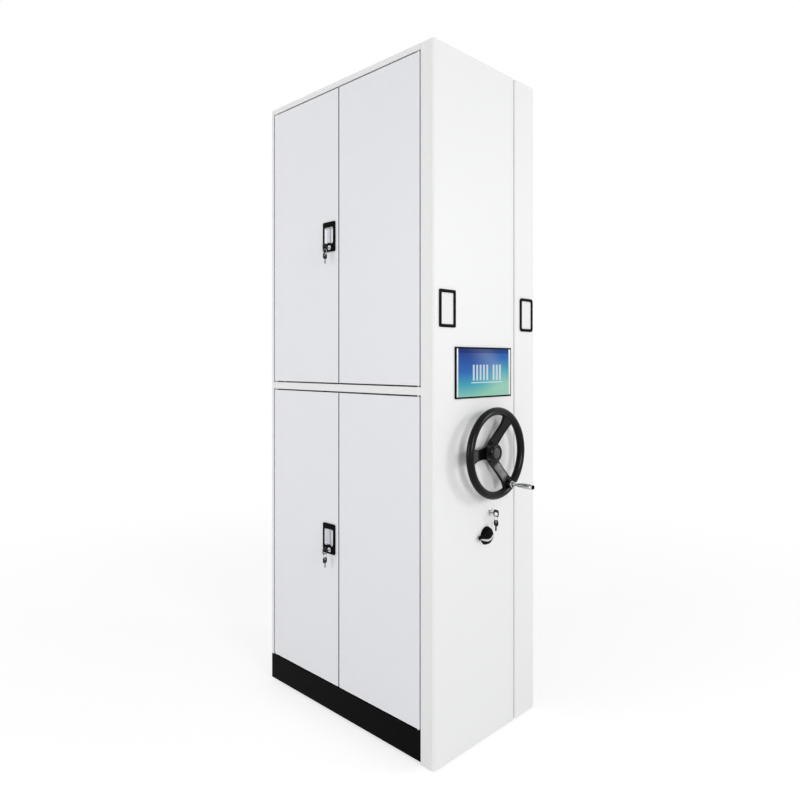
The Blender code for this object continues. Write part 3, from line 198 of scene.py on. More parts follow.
def dress(nodes, finish, edge):
    """Give CAD nodes a finish, and break their sharp edges."""
    for name in nodes:
        node = frame["nodes"][name]
        node.data.materials.clear()
        node.data.materials.append(finish)
        weld = node.modifiers.new("weld", "WELD")
        weld.merge_threshold = WELD_GAP
        break_edges(node, edge, segments=2)


black_enamel = powder_coat("black_enamel_finish", PLINTH_BLACK, roughness=0.42, drift=0.10,
                           gloss=DARK_GLOSS)
beams = ("left_base_beam", "right_base_beam", "front_wheel_beam", "rear_wheel_beam")
dress(beams, black_enamel, BEAM_EDGE)

# Wheels, axles and bearings: turned iron wheels keyed on bright steel axles, which run in
# flanged sleeves pressed into the wheel beams. The rail keeps the treads polished.
IRON_GREY = (0.17, 0.165, 0.16)
IRON_RUST = (0.13, 0.085, 0.06)
TREAD_BRIGHT = (0.52, 0.51, 0.50)
ZINC_COOL = (0.50, 0.53, 0.57)
ZINC_WARM = (0.60, 0.58, 0.52)
TURNED_SIDES = 72
FINE_SIDES = 40
WHEEL_HUB_RADIUS = 0.022
WHEEL_RIM = 0.009
WHEEL_WEB = 0.016
WHEEL_TREAD = 0.034
WHEEL_EDGE = 0.0006
HUB_DRAFT = 0.002
RIM_DRAFT = 0.003
TREAD_CHAMFER = 0.0015
WORN_FROM = 0.0012
WORN_FULLY = 0.0004
AXLE_RADIUS = 0.0125
AXLE_CHAMFER = 0.001
FIT_GAP = 0.0003
OUT_OF_PANEL = (0, -1, 0)
INTO_ROW = (0, 1, 0)


def turned_iron(name, axis_x, axis_z, radius):
    """Lathe-turned iron: fine rings round the axle, with the tread worn bright."""
    finish, shader, place = new_finish(name)
    reach = place.vector_maths("SUBTRACT", (axis_x, 0.0, axis_z)).stretched(1.0, 0.0, 1.0).length()
    rings = place.add("ShaderNodeTexNoise", {"noise_dimensions": "1D"}, {"W": reach, "Scale": 2200.0})
    rust = place.noise(70.0, 4.0, 0.65).step(0.48, 0.72)
    worn = reach.step(radius - WORN_FROM, radius - WORN_FULLY)
    place.feed(shader, {"Base Color": worn.blend(rust.blend(IRON_GREY, IRON_RUST), TREAD_BRIGHT),
                        "Metallic": 1.0 - 0.5 * rust * (1.0 - worn),
                        "Roughness": 0.38 + 0.25 * rust - 0.14 * worn,
                        "Normal": (0.6 * rings + 0.4 * rust).bump(depth=0.00012)})
    return finish


def zinc_plate(name):
    """Zinc plating: cool steel with the faint warm clouds of its passivated skin."""
    finish, shader, place = new_finish(name)
    cloud = place.noise(55.0, 3.0, 0.6).step(0.35, 0.70)
    grain = place.noise(900.0)
    place.feed(shader, {"Base Color": cloud.blend(ZINC_COOL, ZINC_WARM),
                        "Roughness": 0.30 + 0.12 * cloud + 0.06 * grain,
                        "Normal": grain.bump(depth=0.00004),
                        "Metallic": 1.0})
    return finish


def turned(profile, sides=TURNED_SIDES):
    """Body of revolution about local Z; its (radius, height) points run down the outer side."""
    shape = bmesh.new()
    corners = [shape.verts.new((radius, 0.0, height)) for radius, height in profile]
    line = [shape.edges.new(pair) for pair in zip(corners, corners[1:])]
    bmesh.ops.spin(shape, geom=corners + line, axis=(0, 0, 1), cent=(0, 0, 0), angle=tau,
                   steps=sides)
    bmesh.ops.remove_doubles(shape, verts=shape.verts, dist=WELD_GAP)
    bmesh.ops.recalc_face_normals(shape, faces=shape.faces)
    return shape


def bar(radius, start, end, chamfer, sides=FINE_SIDES):
    """Round bar along local Z with its two ends chamfered."""
    return turned([(0.0, end), (radius - chamfer, end), (radius, end - chamfer),
                   (radius, start + chamfer), (radius - chamfer, start), (0.0, start)], sides)


def facing(at, outward):
    """Local X to the right, Y up and Z outward, for a viewer who stands in front."""
    out = Vector(outward)
    up = Vector((0, 0, 1))
    right = up.cross(out)
    turn = Matrix((right, up, out)).transposed().to_4x4()
    return Matrix.Translation(at) @ turn


def make_piece(name, shape, finish, body, at, edge=0.0, stands_for=None):
    """Turn a shape into a piece that rides on a body, and that may stand for a CAD node."""
    mesh = bpy.data.meshes.new(name)
    shape.transform(at)
    shape.to_mesh(mesh)
    shape.free()
    mesh.materials.append(finish)
    mesh.shade_smooth()
    mesh.set_sharp_from_angle(angle=FOLD_ANGLE)
    made = bpy.data.objects.new(name, mesh)
    bpy.context.scene.collection.objects.link(made)
    if edge:
        break_edges(made, edge, segments=3)
    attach(made, body)
    if stands_for:
        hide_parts(stands_for)
    return made


joint_at = {joint["name"]: Vector(joint["pos_m"]) for joint in frame["joints"]}
zinc = zinc_plate("zinc_finish")
for kind in ("drive", "idle"):
    axle = f"{kind}_axle"
    centre = joint_at[f"{kind}_axle_spin"]
    wheel_low, wheel_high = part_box(f"{kind}_wheel_front")
    wheel_radius = centre.z - wheel_low.z
    iron = turned_iron(f"{kind}_wheel_iron", centre.x, centre.z, wheel_radius)
    half_hub = (wheel_high.y - wheel_low.y) / 2
    half_web = WHEEL_WEB / 2
    half_tread = WHEEL_TREAD / 2
    rim_inside = wheel_radius - WHEEL_RIM
    front_half = [(AXLE_RADIUS + FIT_GAP, half_hub), (WHEEL_HUB_RADIUS, half_hub),
                  (WHEEL_HUB_RADIUS + HUB_DRAFT, half_web), (rim_inside, half_web),
                  (rim_inside + RIM_DRAFT, half_tread), (wheel_radius - TREAD_CHAMFER, half_tread),
                  (wheel_radius, half_tread - TREAD_CHAMFER)]
    profile = front_half + [(radius, -height) for radius, height in reversed(front_half)]
    for end in ("front", "rear"):
        name = f"{kind}_wheel_{end}"
        low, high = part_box(name)
        at = facing((centre.x, (low.y + high.y) / 2, centre.z), OUT_OF_PANEL)
        wheel = turned(profile + profile[:1])
        make_piece(f"{name}_turned", wheel, iron, axle, at, WHEEL_EDGE, name)
    low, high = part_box(axle)
    shaft = bar(AXLE_RADIUS, low.y, high.y, AXLE_CHAMFER, TURNED_SIDES)
    at = facing((centre.x, 0.0, centre.z), INTO_ROW)
    make_piece(f"{axle}_bar", shaft, zinc, axle, at, stands_for=axle)
bearings = [f"{kind}_bearing_{end}" for kind in ("drive", "idle") for end in ("front", "rear")]
dress(bearings, zinc, WHEEL_EDGE)

# Cabinet: end walls, deck, partition, top and shelf trays, folded from thin sheet steel and
# coated white. The trays hang by hooks in the slotted end walls.
CABINET_WHITE = (0.833, 0.835, 0.837)
SHEET_EDGE = 0.0005
SHELF_EDGE = 0.0004
white_enamel = powder_coat("white_enamel_finish", CABINET_WHITE, roughness=0.46, drift=0.010)
sheets = ("front_wall", "rear_wall", "base_deck", "centre_partition", "top_panel")
shelves = [f"{side}_shelf_{level}" for side in ("door_side", "aisle_side") for level in range(1, 6)]
dress(sheets, white_enamel, SHEET_EDGE)
dress(shelves, white_enamel, SHELF_EDGE)

# Doors: four steel pans with turned-in edges and a stiffener spot-welded inside, coated in a
# cooler white. They swing on pins in the top, the rail and the plinth.
DOOR_WHITE = (0.817, 0.822, 0.850)
# Painted shade: the share by which the doors' side edges are darkened, so the gaps between the leaves
# look darker.
DOOR_GAP_SHADE = 0.40
door_enamel = powder_coat("door_enamel_finish", DOOR_WHITE, roughness=0.38, drift=0.012,
                          gap_shade=DOOR_GAP_SHADE)
doors = [f"{level}_{leaf}_door" for level in ("upper", "lower") for leaf in ("front", "rear")]
dress(doors, door_enamel, SHEET_EDGE)

# Door lock plates: black moulded plates screwed to the edge of the rear leaves, with a finger
# cup that arches up over the lock. A bright pressed liner with an upright fold sits in the cup;
# its tone has painted shade beside the fold.
MOULDED_BLACK = (0.0020, 0.0020, 0.0021)
STEEL_BRIGHT = (0.61, 0.63, 0.65)
# Painted shade: the darker steel colour drawn beside the liner's fold.
STEEL_SHADE = (0.38, 0.39, 0.41)
PLATE_PROUD = 0.005
PLATE_CORNER = 0.006
PLATE_EDGE = 0.0009
PLUG_RADIUS = 0.0085
PLUG_GAP = 0.0005
PLUG_RIGHT = 0.005
LINER_MARGIN = 0.0006
LINER_FLOOR = -0.0046
LINER_LIP = 0.0040
LINER_FOLD_AT = 0.52
LINER_FOLD_DROP = 0.05
LINER_FOLD_HEIGHT = 0.0030
LINER_BEND = 0.0045
LINER_CELLS = 64
LINER_SHEET = 0.0005
# Painted shade on the liner: a band beside the fold is drawn darker, between these shares across.
SHADE_FROM = 0.14
SHADE_TO = 0.04
SHADE_END = 0.12
ARCH_HALF_WIDTH = 0.0175
ARCH_RISE = 0.0036
ARCH_STEPS = 24
RECESS_WIDTH = 0.048
RECESS_HEIGHT = 0.060
RECESS_UP = 0.005
RECESS_CORNER = 0.006
RECESS_DEPTH = 0.0105
CUP_WALL = 0.002
CUP_EDGE = 0.0003
OUT_OF_DOOR = (-1, 0, 0)


def moulded(name, colour, roughness, grain_depth, gloss):
    """Injection-moulded plastic with a fine spark-eroded grain and faint handling sheen."""
    finish, shader, place = new_finish(name)
    grain = place.noise(2600.0)
    handled = place.noise(38.0, 3.0).step(0.40, 0.75)
    place.feed(shader, {"Base Color": handled.blend(tinted(colour, 0.85), tinted(colour, 1.25)),
                        "Roughness": roughness + 0.10 * (grain - 0.5) - 0.10 * handled,
                        "Normal": grain.bump(grain_depth),
                        "Specular IOR Level": gloss})
    return finish


def brushed_steel(name, colour, stretch, roughness, painted_shade=None):
    """Satin steel, brushed one way: streaks in tone, gloss and relief, and painted shade where asked.
    """
    finish, shader, place = new_finish(name)
    streaks = place.stretched(*stretch).noise(1.0, 3.0, 0.6)
    tone = streaks.blend(tinted(colour, 0.82), tinted(colour, 1.12))
    # Painted shade: the tone is drawn towards a darker steel colour by the given mask.
    if painted_shade:
        tone = painted_shade(place).blend(tone, STEEL_SHADE)
    place.feed(shader, {"Base Color": tone,
                        "Roughness": roughness + 0.20 * (streaks - 0.5),
                        "Normal": streaks.bump(depth=0.00005),
                        "Metallic": 1.0})
    return finish


def pull_liner():
    """Pressed cup: a floor that slopes up to an upright fold, and sides that rise to the plate."""
    shape = bmesh.new()
    width = RECESS_WIDTH - 2 * LINER_MARGIN
    height = RECESS_HEIGHT - 2 * LINER_MARGIN
    bmesh.ops.create_grid(shape, x_segments=LINER_CELLS, y_segments=LINER_CELLS, size=0.5)
    for vert in shape.verts:
        across = vert.co.x + 0.5
        past_side = abs(vert.co.x) * width - width / 2 + RECESS_CORNER
        past_end = abs(vert.co.y) * height - height / 2 + RECESS_CORNER
        reach = Vector((max(past_side, 0.0), max(past_end, 0.0))).length
        to_wall = RECESS_CORNER - max(reach, past_side, past_end)
        rise = min(1.0, max(0.0, 1 - to_wall / LINER_BEND)) ** 2
        if across < LINER_FOLD_AT:
            fold = across / LINER_FOLD_AT
        else:
            fold = max(0.0, 1 - (across - LINER_FOLD_AT) / LINER_FOLD_DROP)
        level = LINER_FLOOR + LINER_FOLD_HEIGHT * fold * (1 - rise)
        vert.co = (vert.co.x * width, vert.co.y * height, level + (LINER_LIP - LINER_FLOOR) * rise)
    return shape


def arc(centre, radius, start, end, steps):
    turns = [start + (end - start) * k / steps for k in range(steps + 1)]
    return [(centre[0] + radius * cos(turn), centre[1] + radius * sin(turn)) for turn in turns]


def flat_piece(outlines, thickness, edge):
    """Flat piece of the given closed outlines, with its edges rounded, centred on local Z = 0."""
    curve = bpy.data.curves.new("outline", "CURVE")
    curve.dimensions = "2D"
    curve.fill_mode = "BOTH"
    curve.extrude = thickness / 2 - edge
    curve.bevel_depth = edge
    curve.bevel_resolution = 2
    curve.offset = -edge
    for points in outlines:
        spline = curve.splines.new("POLY")
        spline.points.add(len(points) - 1)
        for slot, (x, y) in zip(spline.points, points):
            slot.co = (x, y, 0.0, 1.0)
        spline.use_cyclic_u = True
    holder = bpy.data.objects.new("outline", curve)
    bpy.context.scene.collection.objects.link(holder)
    evaluated = holder.evaluated_get(bpy.context.evaluated_depsgraph_get())
    shape = bmesh.new()
    mesh = bpy.data.meshes.new_from_object(evaluated)
    shape.from_mesh(mesh)
    bpy.data.objects.remove(holder)
    bpy.data.curves.remove(curve)
    bpy.data.meshes.remove(mesh)
    bmesh.ops.remove_doubles(shape, verts=shape.verts, dist=WELD_GAP)
    bmesh.ops.recalc_face_normals(shape, faces=shape.faces)
    return shape


def rounded_box(width, height, corner, centre=(0.0, 0.0), steps=6):
    """Rectangle outline with round corners, anticlockwise from the right-hand side."""
    points = []
    for quarter, (side_x, side_y) in enumerate(((1, 1), (-1, 1), (-1, -1), (1, -1))):
        x = centre[0] + side_x * (width / 2 - corner)
        y = centre[1] + side_y * (height / 2 - corner)
        points += arc((x, y), corner, quarter * pi / 2, (quarter + 1) * pi / 2, steps)
    return points


def joined(*shapes):
    """One shape with all the given ones in it."""
    whole = bmesh.new()
    for shape in shapes:
        mesh = bpy.data.meshes.new("joining")
        shape.to_mesh(mesh)
        whole.from_mesh(mesh)
        shape.free()
        bpy.data.meshes.remove(mesh)
    return whole


def moved(shape, at):
    shape.transform(at)
    return shape


def raised(shape, height):
    return moved(shape, Matrix.Translation((0, 0, height)))


def lock_plate(width, height, plug_at):
    """Plate with an arched window and a hole for the lock, and the finger cup behind the window."""
    middle = (0.0, RECESS_UP)
    window = rounded_box(RECESS_WIDTH, RECESS_HEIGHT, RECESS_CORNER, middle)
    sill = len(window) * 3 // 4
    arch = []
    for k in range(ARCH_STEPS + 1):
        share = 2 * k / ARCH_STEPS - 1
        rise = ARCH_RISE * cos(share * pi / 2) ** 2
        arch.append((share * ARCH_HALF_WIDTH, RECESS_UP - RECESS_HEIGHT / 2 + rise))
    arched = window[:sill] + arch + window[sill:]
    plug_hole = arc(plug_at, PLUG_RADIUS + PLUG_GAP, 0.0, tau, FINE_SIDES)[:-1]
    plate = rounded_box(width, height, PLATE_CORNER)
    front = flat_piece([plate, arched, plug_hole], PLATE_PROUD - FIT_GAP, PLATE_EDGE)
    cup = rounded_box(RECESS_WIDTH + 2 * CUP_WALL, RECESS_HEIGHT + 2 * CUP_WALL,
                      RECESS_CORNER + CUP_WALL, middle)
    cup_back = PLATE_PROUD - RECESS_DEPTH - CUP_WALL
    cup_front = PLATE_PROUD / 2
    sides = flat_piece([cup, window], cup_front - cup_back, CUP_EDGE)
    back = flat_piece([cup], CUP_WALL, CUP_EDGE)
    return joined(raised(front, (PLATE_PROUD + FIT_GAP) / 2),
                  raised(sides, (cup_front + cup_back) / 2),
                  raised(back, cup_back + CUP_WALL / 2))


def fold_painted_shade(place):
    """How much painted shade the liner takes: most beside the fold, which stands at one place in Y."""
    across = 0.5 - (place.part("Y") - joint_at["upper_lock_turn"].y - PLUG_RIGHT) / RECESS_WIDTH
    return across.hump(LINER_FOLD_AT - SHADE_FROM, LINER_FOLD_AT,
                       LINER_FOLD_AT + SHADE_TO, LINER_FOLD_AT + SHADE_END)


black_plastic = moulded("black_plastic_finish", MOULDED_BLACK, roughness=0.42, grain_depth=0.00006,
                        gloss=DARK_GLOSS)
liner_steel = brushed_steel("liner_steel", STEEL_BRIGHT, stretch=(60.0, 60.0, 1500.0), roughness=0.56,
                            painted_shade=fold_painted_shade)
for level in ("upper", "lower"):
    plate_name = f"{level}_door_lock_plate"
    door_body = f"{level}_rear_door"
    low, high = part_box(plate_name)
    centre = Vector((low.x + PLATE_PROUD, (low.y + high.y) / 2, (low.z + high.z) / 2))
    plug_at = (PLUG_RIGHT, joint_at[f"{level}_lock_turn"].z - centre.z)
    plate = lock_plate(high.y - low.y, high.z - low.z, plug_at)
    make_piece(f"{level}_lock_plate_moulding", plate, black_plastic, door_body,
               facing(centre, OUT_OF_DOOR), stands_for=plate_name)
    recess_middle = centre + Vector((0, 0, RECESS_UP))
    liner = make_piece(f"{level}_pull_liner", pull_liner(), liner_steel, door_body,
                       facing(recess_middle, OUT_OF_DOOR))
    thick = liner.modifiers.new("sheet", "SOLIDIFY")
    thick.thickness = LINER_SHEET
    thick.offset = -1.0

# Locks and keys: plated brass plugs that turn a tongue behind the sheet. A nickel key with a
# dark moulded head is left in each, and its twin hangs from a wire ring through the head.
CHROME_TONE = (0.60, 0.605, 0.61)
KEY_TONE = (0.40, 0.40, 0.405)
KEY_HEAD_GREY = (0.030, 0.030, 0.032)
KEYWAY_RADIUS = 0.0052
KEYWAY_SLOPE = 0.0006
KEYWAY_SUNK = 0.0004
PLUG_CHAMFER = 0.0006
KEY_THICKNESS = 0.0024
KEY_EDGE = 0.0004
KEY_SHANK = 0.009
KEY_SUNK = 0.001
KEY_HALF_SHANK = 0.0036
KEY_TIP = 0.0015
KEY_TIP_UP = 0.3
KEY_TIP_DOWN = 0.6
BOW_LENGTH = 0.021
BOW_HEIGHT = 0.024
BOW_CORNER = 0.006
BOW_BAR = 0.003
BOW_END_BAR = 0.0035
WINDOW_HEIGHT = 0.012
WINDOW_CORNER = 0.003
SPARE_BLADE = 0.017
SPARE_BOW_HEIGHT = 0.018
KEY_BITS = 6
BITS_SHARE = 0.7
BITS_END = 0.85
BIT_DEPTH = 0.0014
HEAD_THICKNESS = 0.0030
HEAD_EDGE = 0.0008
HEAD_OVERLAP = 0.003
HOLE_RADIUS = 0.0024
HOLE_SIDES = 24
RING_RADIUS = 0.0095
RING_WIRE = 0.0009
RING_HANG = 0.0021
RING_SIDES = 48
WIRE_SIDES = 12
TONGUE_REACH = 0.026
TONGUE_HALF_WIDTH = 0.006
TONGUE_THICKNESS = 0.002


def plated(name, colour, roughness):
    """Bright plating with the hair scratches of handling."""
    finish, shader, place = new_finish(name)
    hairs = place.stretched(90.0, 90.0, 900.0).noise(1.0, 4.0, 0.7).step(0.55, 0.75)
    smear = place.noise(45.0, 3.0)
    place.feed(shader, {"Base Color": smear.blend(tinted(colour, 0.92), tinted(colour, 1.06)),
                        "Roughness": roughness + 0.12 * hairs + 0.05 * smear,
                        "Normal": hairs.bump(depth=0.00002),
                        "Metallic": 1.0})
    return finish


def lock_plug(plug_front, plug_back):
    """Plug with a raised collar round its keyway, and the tongue on its inner end."""
    keyway = plug_front - KEYWAY_SUNK
    body = turned([(0.0, keyway), (KEYWAY_RADIUS, keyway), (KEYWAY_RADIUS + KEYWAY_SLOPE, plug_front),
                   (PLUG_RADIUS - PLUG_CHAMFER, plug_front), (PLUG_RADIUS, plug_front - PLUG_CHAMFER),
                   (PLUG_RADIUS, plug_back), (0.0, plug_back)], FINE_SIDES)
    half = TONGUE_HALF_WIDTH
    round_end = half - TONGUE_REACH
    arm = [(half, round_end), (half, half), (-half, half)]
    arm += arc((0.0, round_end), half, pi, tau, steps=10)
    return joined(body, raised(flat_piece([arm], TONGUE_THICKNESS, KEY_EDGE), plug_back))


def key_blade(length, cut):
    """Flat blade along local X that ends inside the head, with cut bits on one side."""
    half = KEY_HALF_SHANK
    end = length + HEAD_OVERLAP
    outline = [(end, half)]
    pitch = length * BITS_SHARE / KEY_BITS
    for k in range(KEY_BITS if cut else 0):
        at = length * BITS_END - k * pitch
        depth = BIT_DEPTH * (0.5 + 0.5 * (k % 2))
        outline += [(at, half), (at - pitch / 2, half - depth)]
    outline += [(0.0, half * KEY_TIP_UP), (0.0, -half * KEY_TIP_DOWN), (KEY_TIP, -half), (end, -half)]
    return flat_piece([outline], KEY_THICKNESS, KEY_EDGE)


def key_head(start, height, window):
    """Moulded head on a key's blade, with the window that the ring passes through."""
    bow = rounded_box(BOW_LENGTH, height, BOW_CORNER, (start + BOW_LENGTH / 2, 0.0))
    return flat_piece([bow, window], HEAD_THICKNESS, HEAD_EDGE)


def wire_ring():
    ring = turned(arc((RING_RADIUS, 0.0), RING_WIRE, tau, 0.0, WIRE_SIDES), RING_SIDES)
    return moved(ring, Matrix.Translation((0, RING_HANG - RING_RADIUS + RING_WIRE, 0)))


def fit_lock(prefix, node_prefix, outward):
    """Plug and key on the lock's body, and the ring with its spare key below them."""
    lock = f"{prefix}_lock"
    spare_key = f"{prefix}_spare_key"
    axis = joint_at[f"{lock}_turn"]
    at = facing(axis, outward)
    low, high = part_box(f"{node_prefix}_lock_plug")
    way = 0 if outward == OUT_OF_DOOR else 1
    plug_front = axis[way] - low[way] - KEY_SHANK - BOW_LENGTH
    plug_back = axis[way] - high[way] + TONGUE_THICKNESS / 2
    make_piece(f"{lock}_cylinder", lock_plug(plug_front, plug_back), chrome, lock, at,
               stands_for=f"{node_prefix}_lock_plug")
    standing = at @ Matrix.Translation((0, 0, plug_front - KEY_SUNK)) @ Matrix.Rotation(-pi / 2, 4, "Y")
    shank = KEY_SHANK + KEY_SUNK
    make_piece(f"{prefix}_key_blade", key_blade(shank, False), key_nickel, lock, standing)
    window_at = (shank + BOW_LENGTH / 2, -BOW_HEIGHT / 2 + BOW_BAR + WINDOW_HEIGHT / 2)
    window = rounded_box(BOW_LENGTH - 2 * BOW_END_BAR, WINDOW_HEIGHT, WINDOW_CORNER, window_at)
    head = key_head(shank, BOW_HEIGHT, window)
    make_piece(f"{prefix}_key_head", head, key_plastic, lock, standing)

    hang = facing(joint_at[f"{spare_key}_swing"], outward)
    ring_bottom = RING_HANG - (RING_RADIUS - RING_WIRE) - RING_RADIUS
    tip = ring_bottom + BOW_END_BAR - SPARE_BLADE - BOW_LENGTH
    upright = Matrix.Translation((0, tip, 0)) @ Matrix(((0, 0, 1), (1, 0, 0), (0, 1, 0))).to_4x4()
    spare = joined(wire_ring(), moved(key_blade(SPARE_BLADE, True), upright))
    make_piece(f"{spare_key}_blade", spare, key_nickel, spare_key, hang,
               stands_for=f"{node_prefix}_lock_spare_key")
    hole_at = SPARE_BLADE + BOW_LENGTH - BOW_END_BAR - HOLE_RADIUS
    hole = arc((hole_at, 0.0), HOLE_RADIUS, 0.0, tau, HOLE_SIDES)[:-1]
    head = key_head(SPARE_BLADE, SPARE_BOW_HEIGHT, hole)
    make_piece(f"{spare_key}_head", head, key_plastic, spare_key, hang @ upright)


chrome = plated("chrome_finish", CHROME_TONE, roughness=0.10)
key_nickel = plated("key_nickel", KEY_TONE, roughness=0.26)
key_plastic = moulded("key_head_plastic", KEY_HEAD_GREY, roughness=0.40, grain_depth=0.00004,
                      gloss=0.20)
for level in ("upper", "lower"):
    fit_lock(level, f"{level}_door", OUT_OF_DOOR)

# End panel: two folded sheets, a wide one for the controls and a narrow one beside it, with
# round bends at the upright corners. They hook on the front wall and leave a thin seam.
dress(("main_end_panel", "side_end_panel"), white_enamel, SHEET_EDGE)

# Label frames: black moulded frames stuck on the end panel. A blank white index card slides
# in behind each one, with a thumb notch at the top.
CARD_WHITE = (0.86, 0.86, 0.85)
CARD_THICKNESS = 0.0008
CARD_EDGE = 0.0001
CARD_MARGIN = 0.0004
LABEL_BORDER = 0.010
LABEL_CORNERS = {"left": 0.005, "right": 0.011}
LABEL_EDGE = 0.0010
NOTCH_RADIUS = 0.007
NOTCH_STEPS = 16


def card_stock(name):
    """Uncoated card: fibres that show in the tone and the relief."""
    finish, shader, place = new_finish(name)
    fibres = place.stretched(1.0, 1.0, 0.4).noise(1500.0, 4.0, 0.7)
    place.feed(shader, {"Base Color": fibres.blend(tinted(CARD_WHITE, 0.95), tinted(CARD_WHITE, 1.03)),
                        "Normal": fibres.bump(depth=0.00006),
                        "Roughness": 0.85})
    return finish


card_paper = card_stock("card_stock")
for side, corner in LABEL_CORNERS.items():
    frame_name = f"{side}_label_frame"
    low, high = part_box(frame_name)
    middle = (low + high) / 2
    outside = rounded_box(high.x - low.x, high.z - low.z, corner)
    width = high.x - low.x - 2 * LABEL_BORDER
    height = high.z - low.z - 2 * LABEL_BORDER
    inside = rounded_box(width, height, corner / 2)
    moulding = flat_piece([outside, inside], high.y - low.y, LABEL_EDGE)
    make_piece(f"{side}_label_moulding", moulding, black_plastic, "carriage",
               facing(middle, OUT_OF_PANEL), stands_for=frame_name)
    outline = rounded_box(width - 2 * CARD_MARGIN, height - 2 * CARD_MARGIN, corner / 2)
    notch = arc((0.0, height / 2 - CARD_MARGIN), NOTCH_RADIUS, tau, pi, NOTCH_STEPS)
    notch_start = len(outline) // 4
    outline = outline[:notch_start] + notch + outline[notch_start:]
    card = flat_piece([outline], CARD_THICKNESS, CARD_EDGE)
    card_at = facing((middle.x, high.y - CARD_THICKNESS / 2, middle.z), OUT_OF_PANEL)
    make_piece(f"{side}_index_card", card, card_paper, "carriage", card_at)

# Screen: a flat display in a slim black case let into the end panel. The glass shows a plain
# plan of a shelving row, and bright trim strips run down both sides of the picture.
NIGHT_BLUE = (0.022, 0.055, 0.30)
DAY_BLUE = (0.030, 0.15, 0.50)
LAGOON = (0.070, 0.42, 0.52)
MINT = (0.32, 0.68, 0.48)
ICON_WHITE = (0.80, 0.92, 0.92)
MENU_BLUE = (0.01, 0.02, 0.10)
GLASS_DARK = (0.010, 0.020, 0.040)
MENU_DARK = (0.004, 0.006, 0.012)
SKY_STOPS = ((0.0, MINT), (0.30, LAGOON), (0.58, DAY_BLUE), (0.95, NIGHT_BLUE))
SKY_TILT = 0.16
WAVE_HEIGHT = 0.10
WAVE_RATE = 4.2
WAVE_START = 0.6
PICTURE_GLOW = 0.80
PLAN_SHARE = 0.80
PLAN_LEFT = 0.30
PLAN_PITCH = 0.062
PLAN_BARS = 8
PLAN_AISLE_AFTER = 5
PLAN_AISLE = 0.06
PLAN_BAR_EDGE = (0.014, 0.020)
PLAN_UPRIGHT = (0.33, 0.34, 0.66, 0.67)
RAIL_AT = 0.29
RAIL_EDGE = (0.008, 0.016)
RAIL_ACROSS = (0.25, 0.26, 0.84, 0.85)
MENU_EDGE = (0.905, 0.915)
MENU_SHARE = 0.45
BEAM_SHARE = 0.14
BEAM_SLANT = 0.45
BEAM_ACROSS = (0.55, 0.95, 0.95, 1.25)
CASE_EDGE = 0.0006
GLASS_EDGE = 0.0003
STRIP_TONE = (0.56, 0.57, 0.58)
STRIP_WIDTHS = {"left": 0.0070, "right": 0.0105}
STRIP_THICKNESS = 0.0012
STRIP_CORNER = 0.0012
STRIP_EDGE = 0.0004


def picture_glass(name, low, high):
    """Lit picture under glass: blue over lagoon green, with a row of shelf bars and an open aisle."""
    finish, shader, place = new_finish(name)
    across = (place.part("X") - low.x) / (high.x - low.x)
    up = (place.part("Z") - low.z) / (high.z - low.z)
    wave = place.maths("SINE", across * WAVE_RATE + WAVE_START)
    height = up + WAVE_HEIGHT * wave - SKY_TILT * across
    sky = place.add("ShaderNodeValToRGB", {"stops": SKY_STOPS}, {0: height})
    beam = (across + BEAM_SLANT * up).hump(*BEAM_ACROSS)
    sky = (BEAM_SHARE * beam).blend(sky, ICON_WHITE)
    bars = 0.0
    for k in range(PLAN_BARS):
        aisle = PLAN_AISLE if k >= PLAN_AISLE_AFTER else 0.0
        middle = PLAN_LEFT + k * PLAN_PITCH + aisle
        beside = place.maths("ABSOLUTE", across - middle)
        bars = bars + (1.0 - beside.step(*PLAN_BAR_EDGE))
    rail_gap = place.maths("ABSOLUTE", up - RAIL_AT)
    rail = (1.0 - rail_gap.step(*RAIL_EDGE)) * across.hump(*RAIL_ACROSS)
    drawn = place.maths("MAXIMUM", bars * up.hump(*PLAN_UPRIGHT), rail)
    menu = up.step(*MENU_EDGE)
    picture = (PLAN_SHARE * drawn).blend((MENU_SHARE * menu).blend(sky, MENU_BLUE), ICON_WHITE)
    smears = place.noise(60.0, 3.0).step(0.5, 0.8)
    place.feed(shader, {"Base Color": menu.blend(GLASS_DARK, MENU_DARK),
                        "Emission Color": picture,
                        "Emission Strength": PICTURE_GLOW,
                        "Roughness": 0.10 + 0.10 * smears,
                        "Specular IOR Level": DARK_GLOSS})
    return finish


dress(("screen_housing",), black_plastic, CASE_EDGE)
glass_low, glass_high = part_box("screen_glass")
glass_finish = picture_glass("screen_picture", glass_low, glass_high)
dress(("screen_glass",), glass_finish, GLASS_EDGE)
strip_steel = brushed_steel("screen_trim", STRIP_TONE, stretch=(1200.0, 1200.0, 40.0), roughness=0.45)
strip_height = glass_high.z - glass_low.z
for side, strip_width in STRIP_WIDTHS.items():
    edge_x = glass_low.x + strip_width / 2 if side == "left" else glass_high.x - strip_width / 2
    middle = (edge_x, glass_low.y - STRIP_THICKNESS / 2, (glass_low.z + glass_high.z) / 2)
    outline = rounded_box(strip_width, strip_height, STRIP_CORNER)
    strip = flat_piece([outline], STRIP_THICKNESS, STRIP_EDGE)
    make_piece(f"screen_{side}_trim", strip, strip_steel, "carriage",
               facing(middle, OUT_OF_PANEL))

# Chain drive: roller chain from the handwheel's sprocket down to the drive axle, with the
# handwheel's shaft and its flanged bearing, all hidden behind the end panel.
SPROCKET_UNWORN = 0.2
CHAIN_EDGE = 0.0003
SPROCKET_EDGE = 0.0005
wheel_axis = joint_at["handwheel_spin"]
dark_iron = turned_iron("sprocket_iron", wheel_axis.x, wheel_axis.z, SPROCKET_UNWORN)
dress(("drive_chain", "handwheel_shaft"), zinc, CHAIN_EDGE)
dress(("upper_sprocket", "lower_sprocket", "shaft_bearing"), dark_iron, SPROCKET_EDGE)

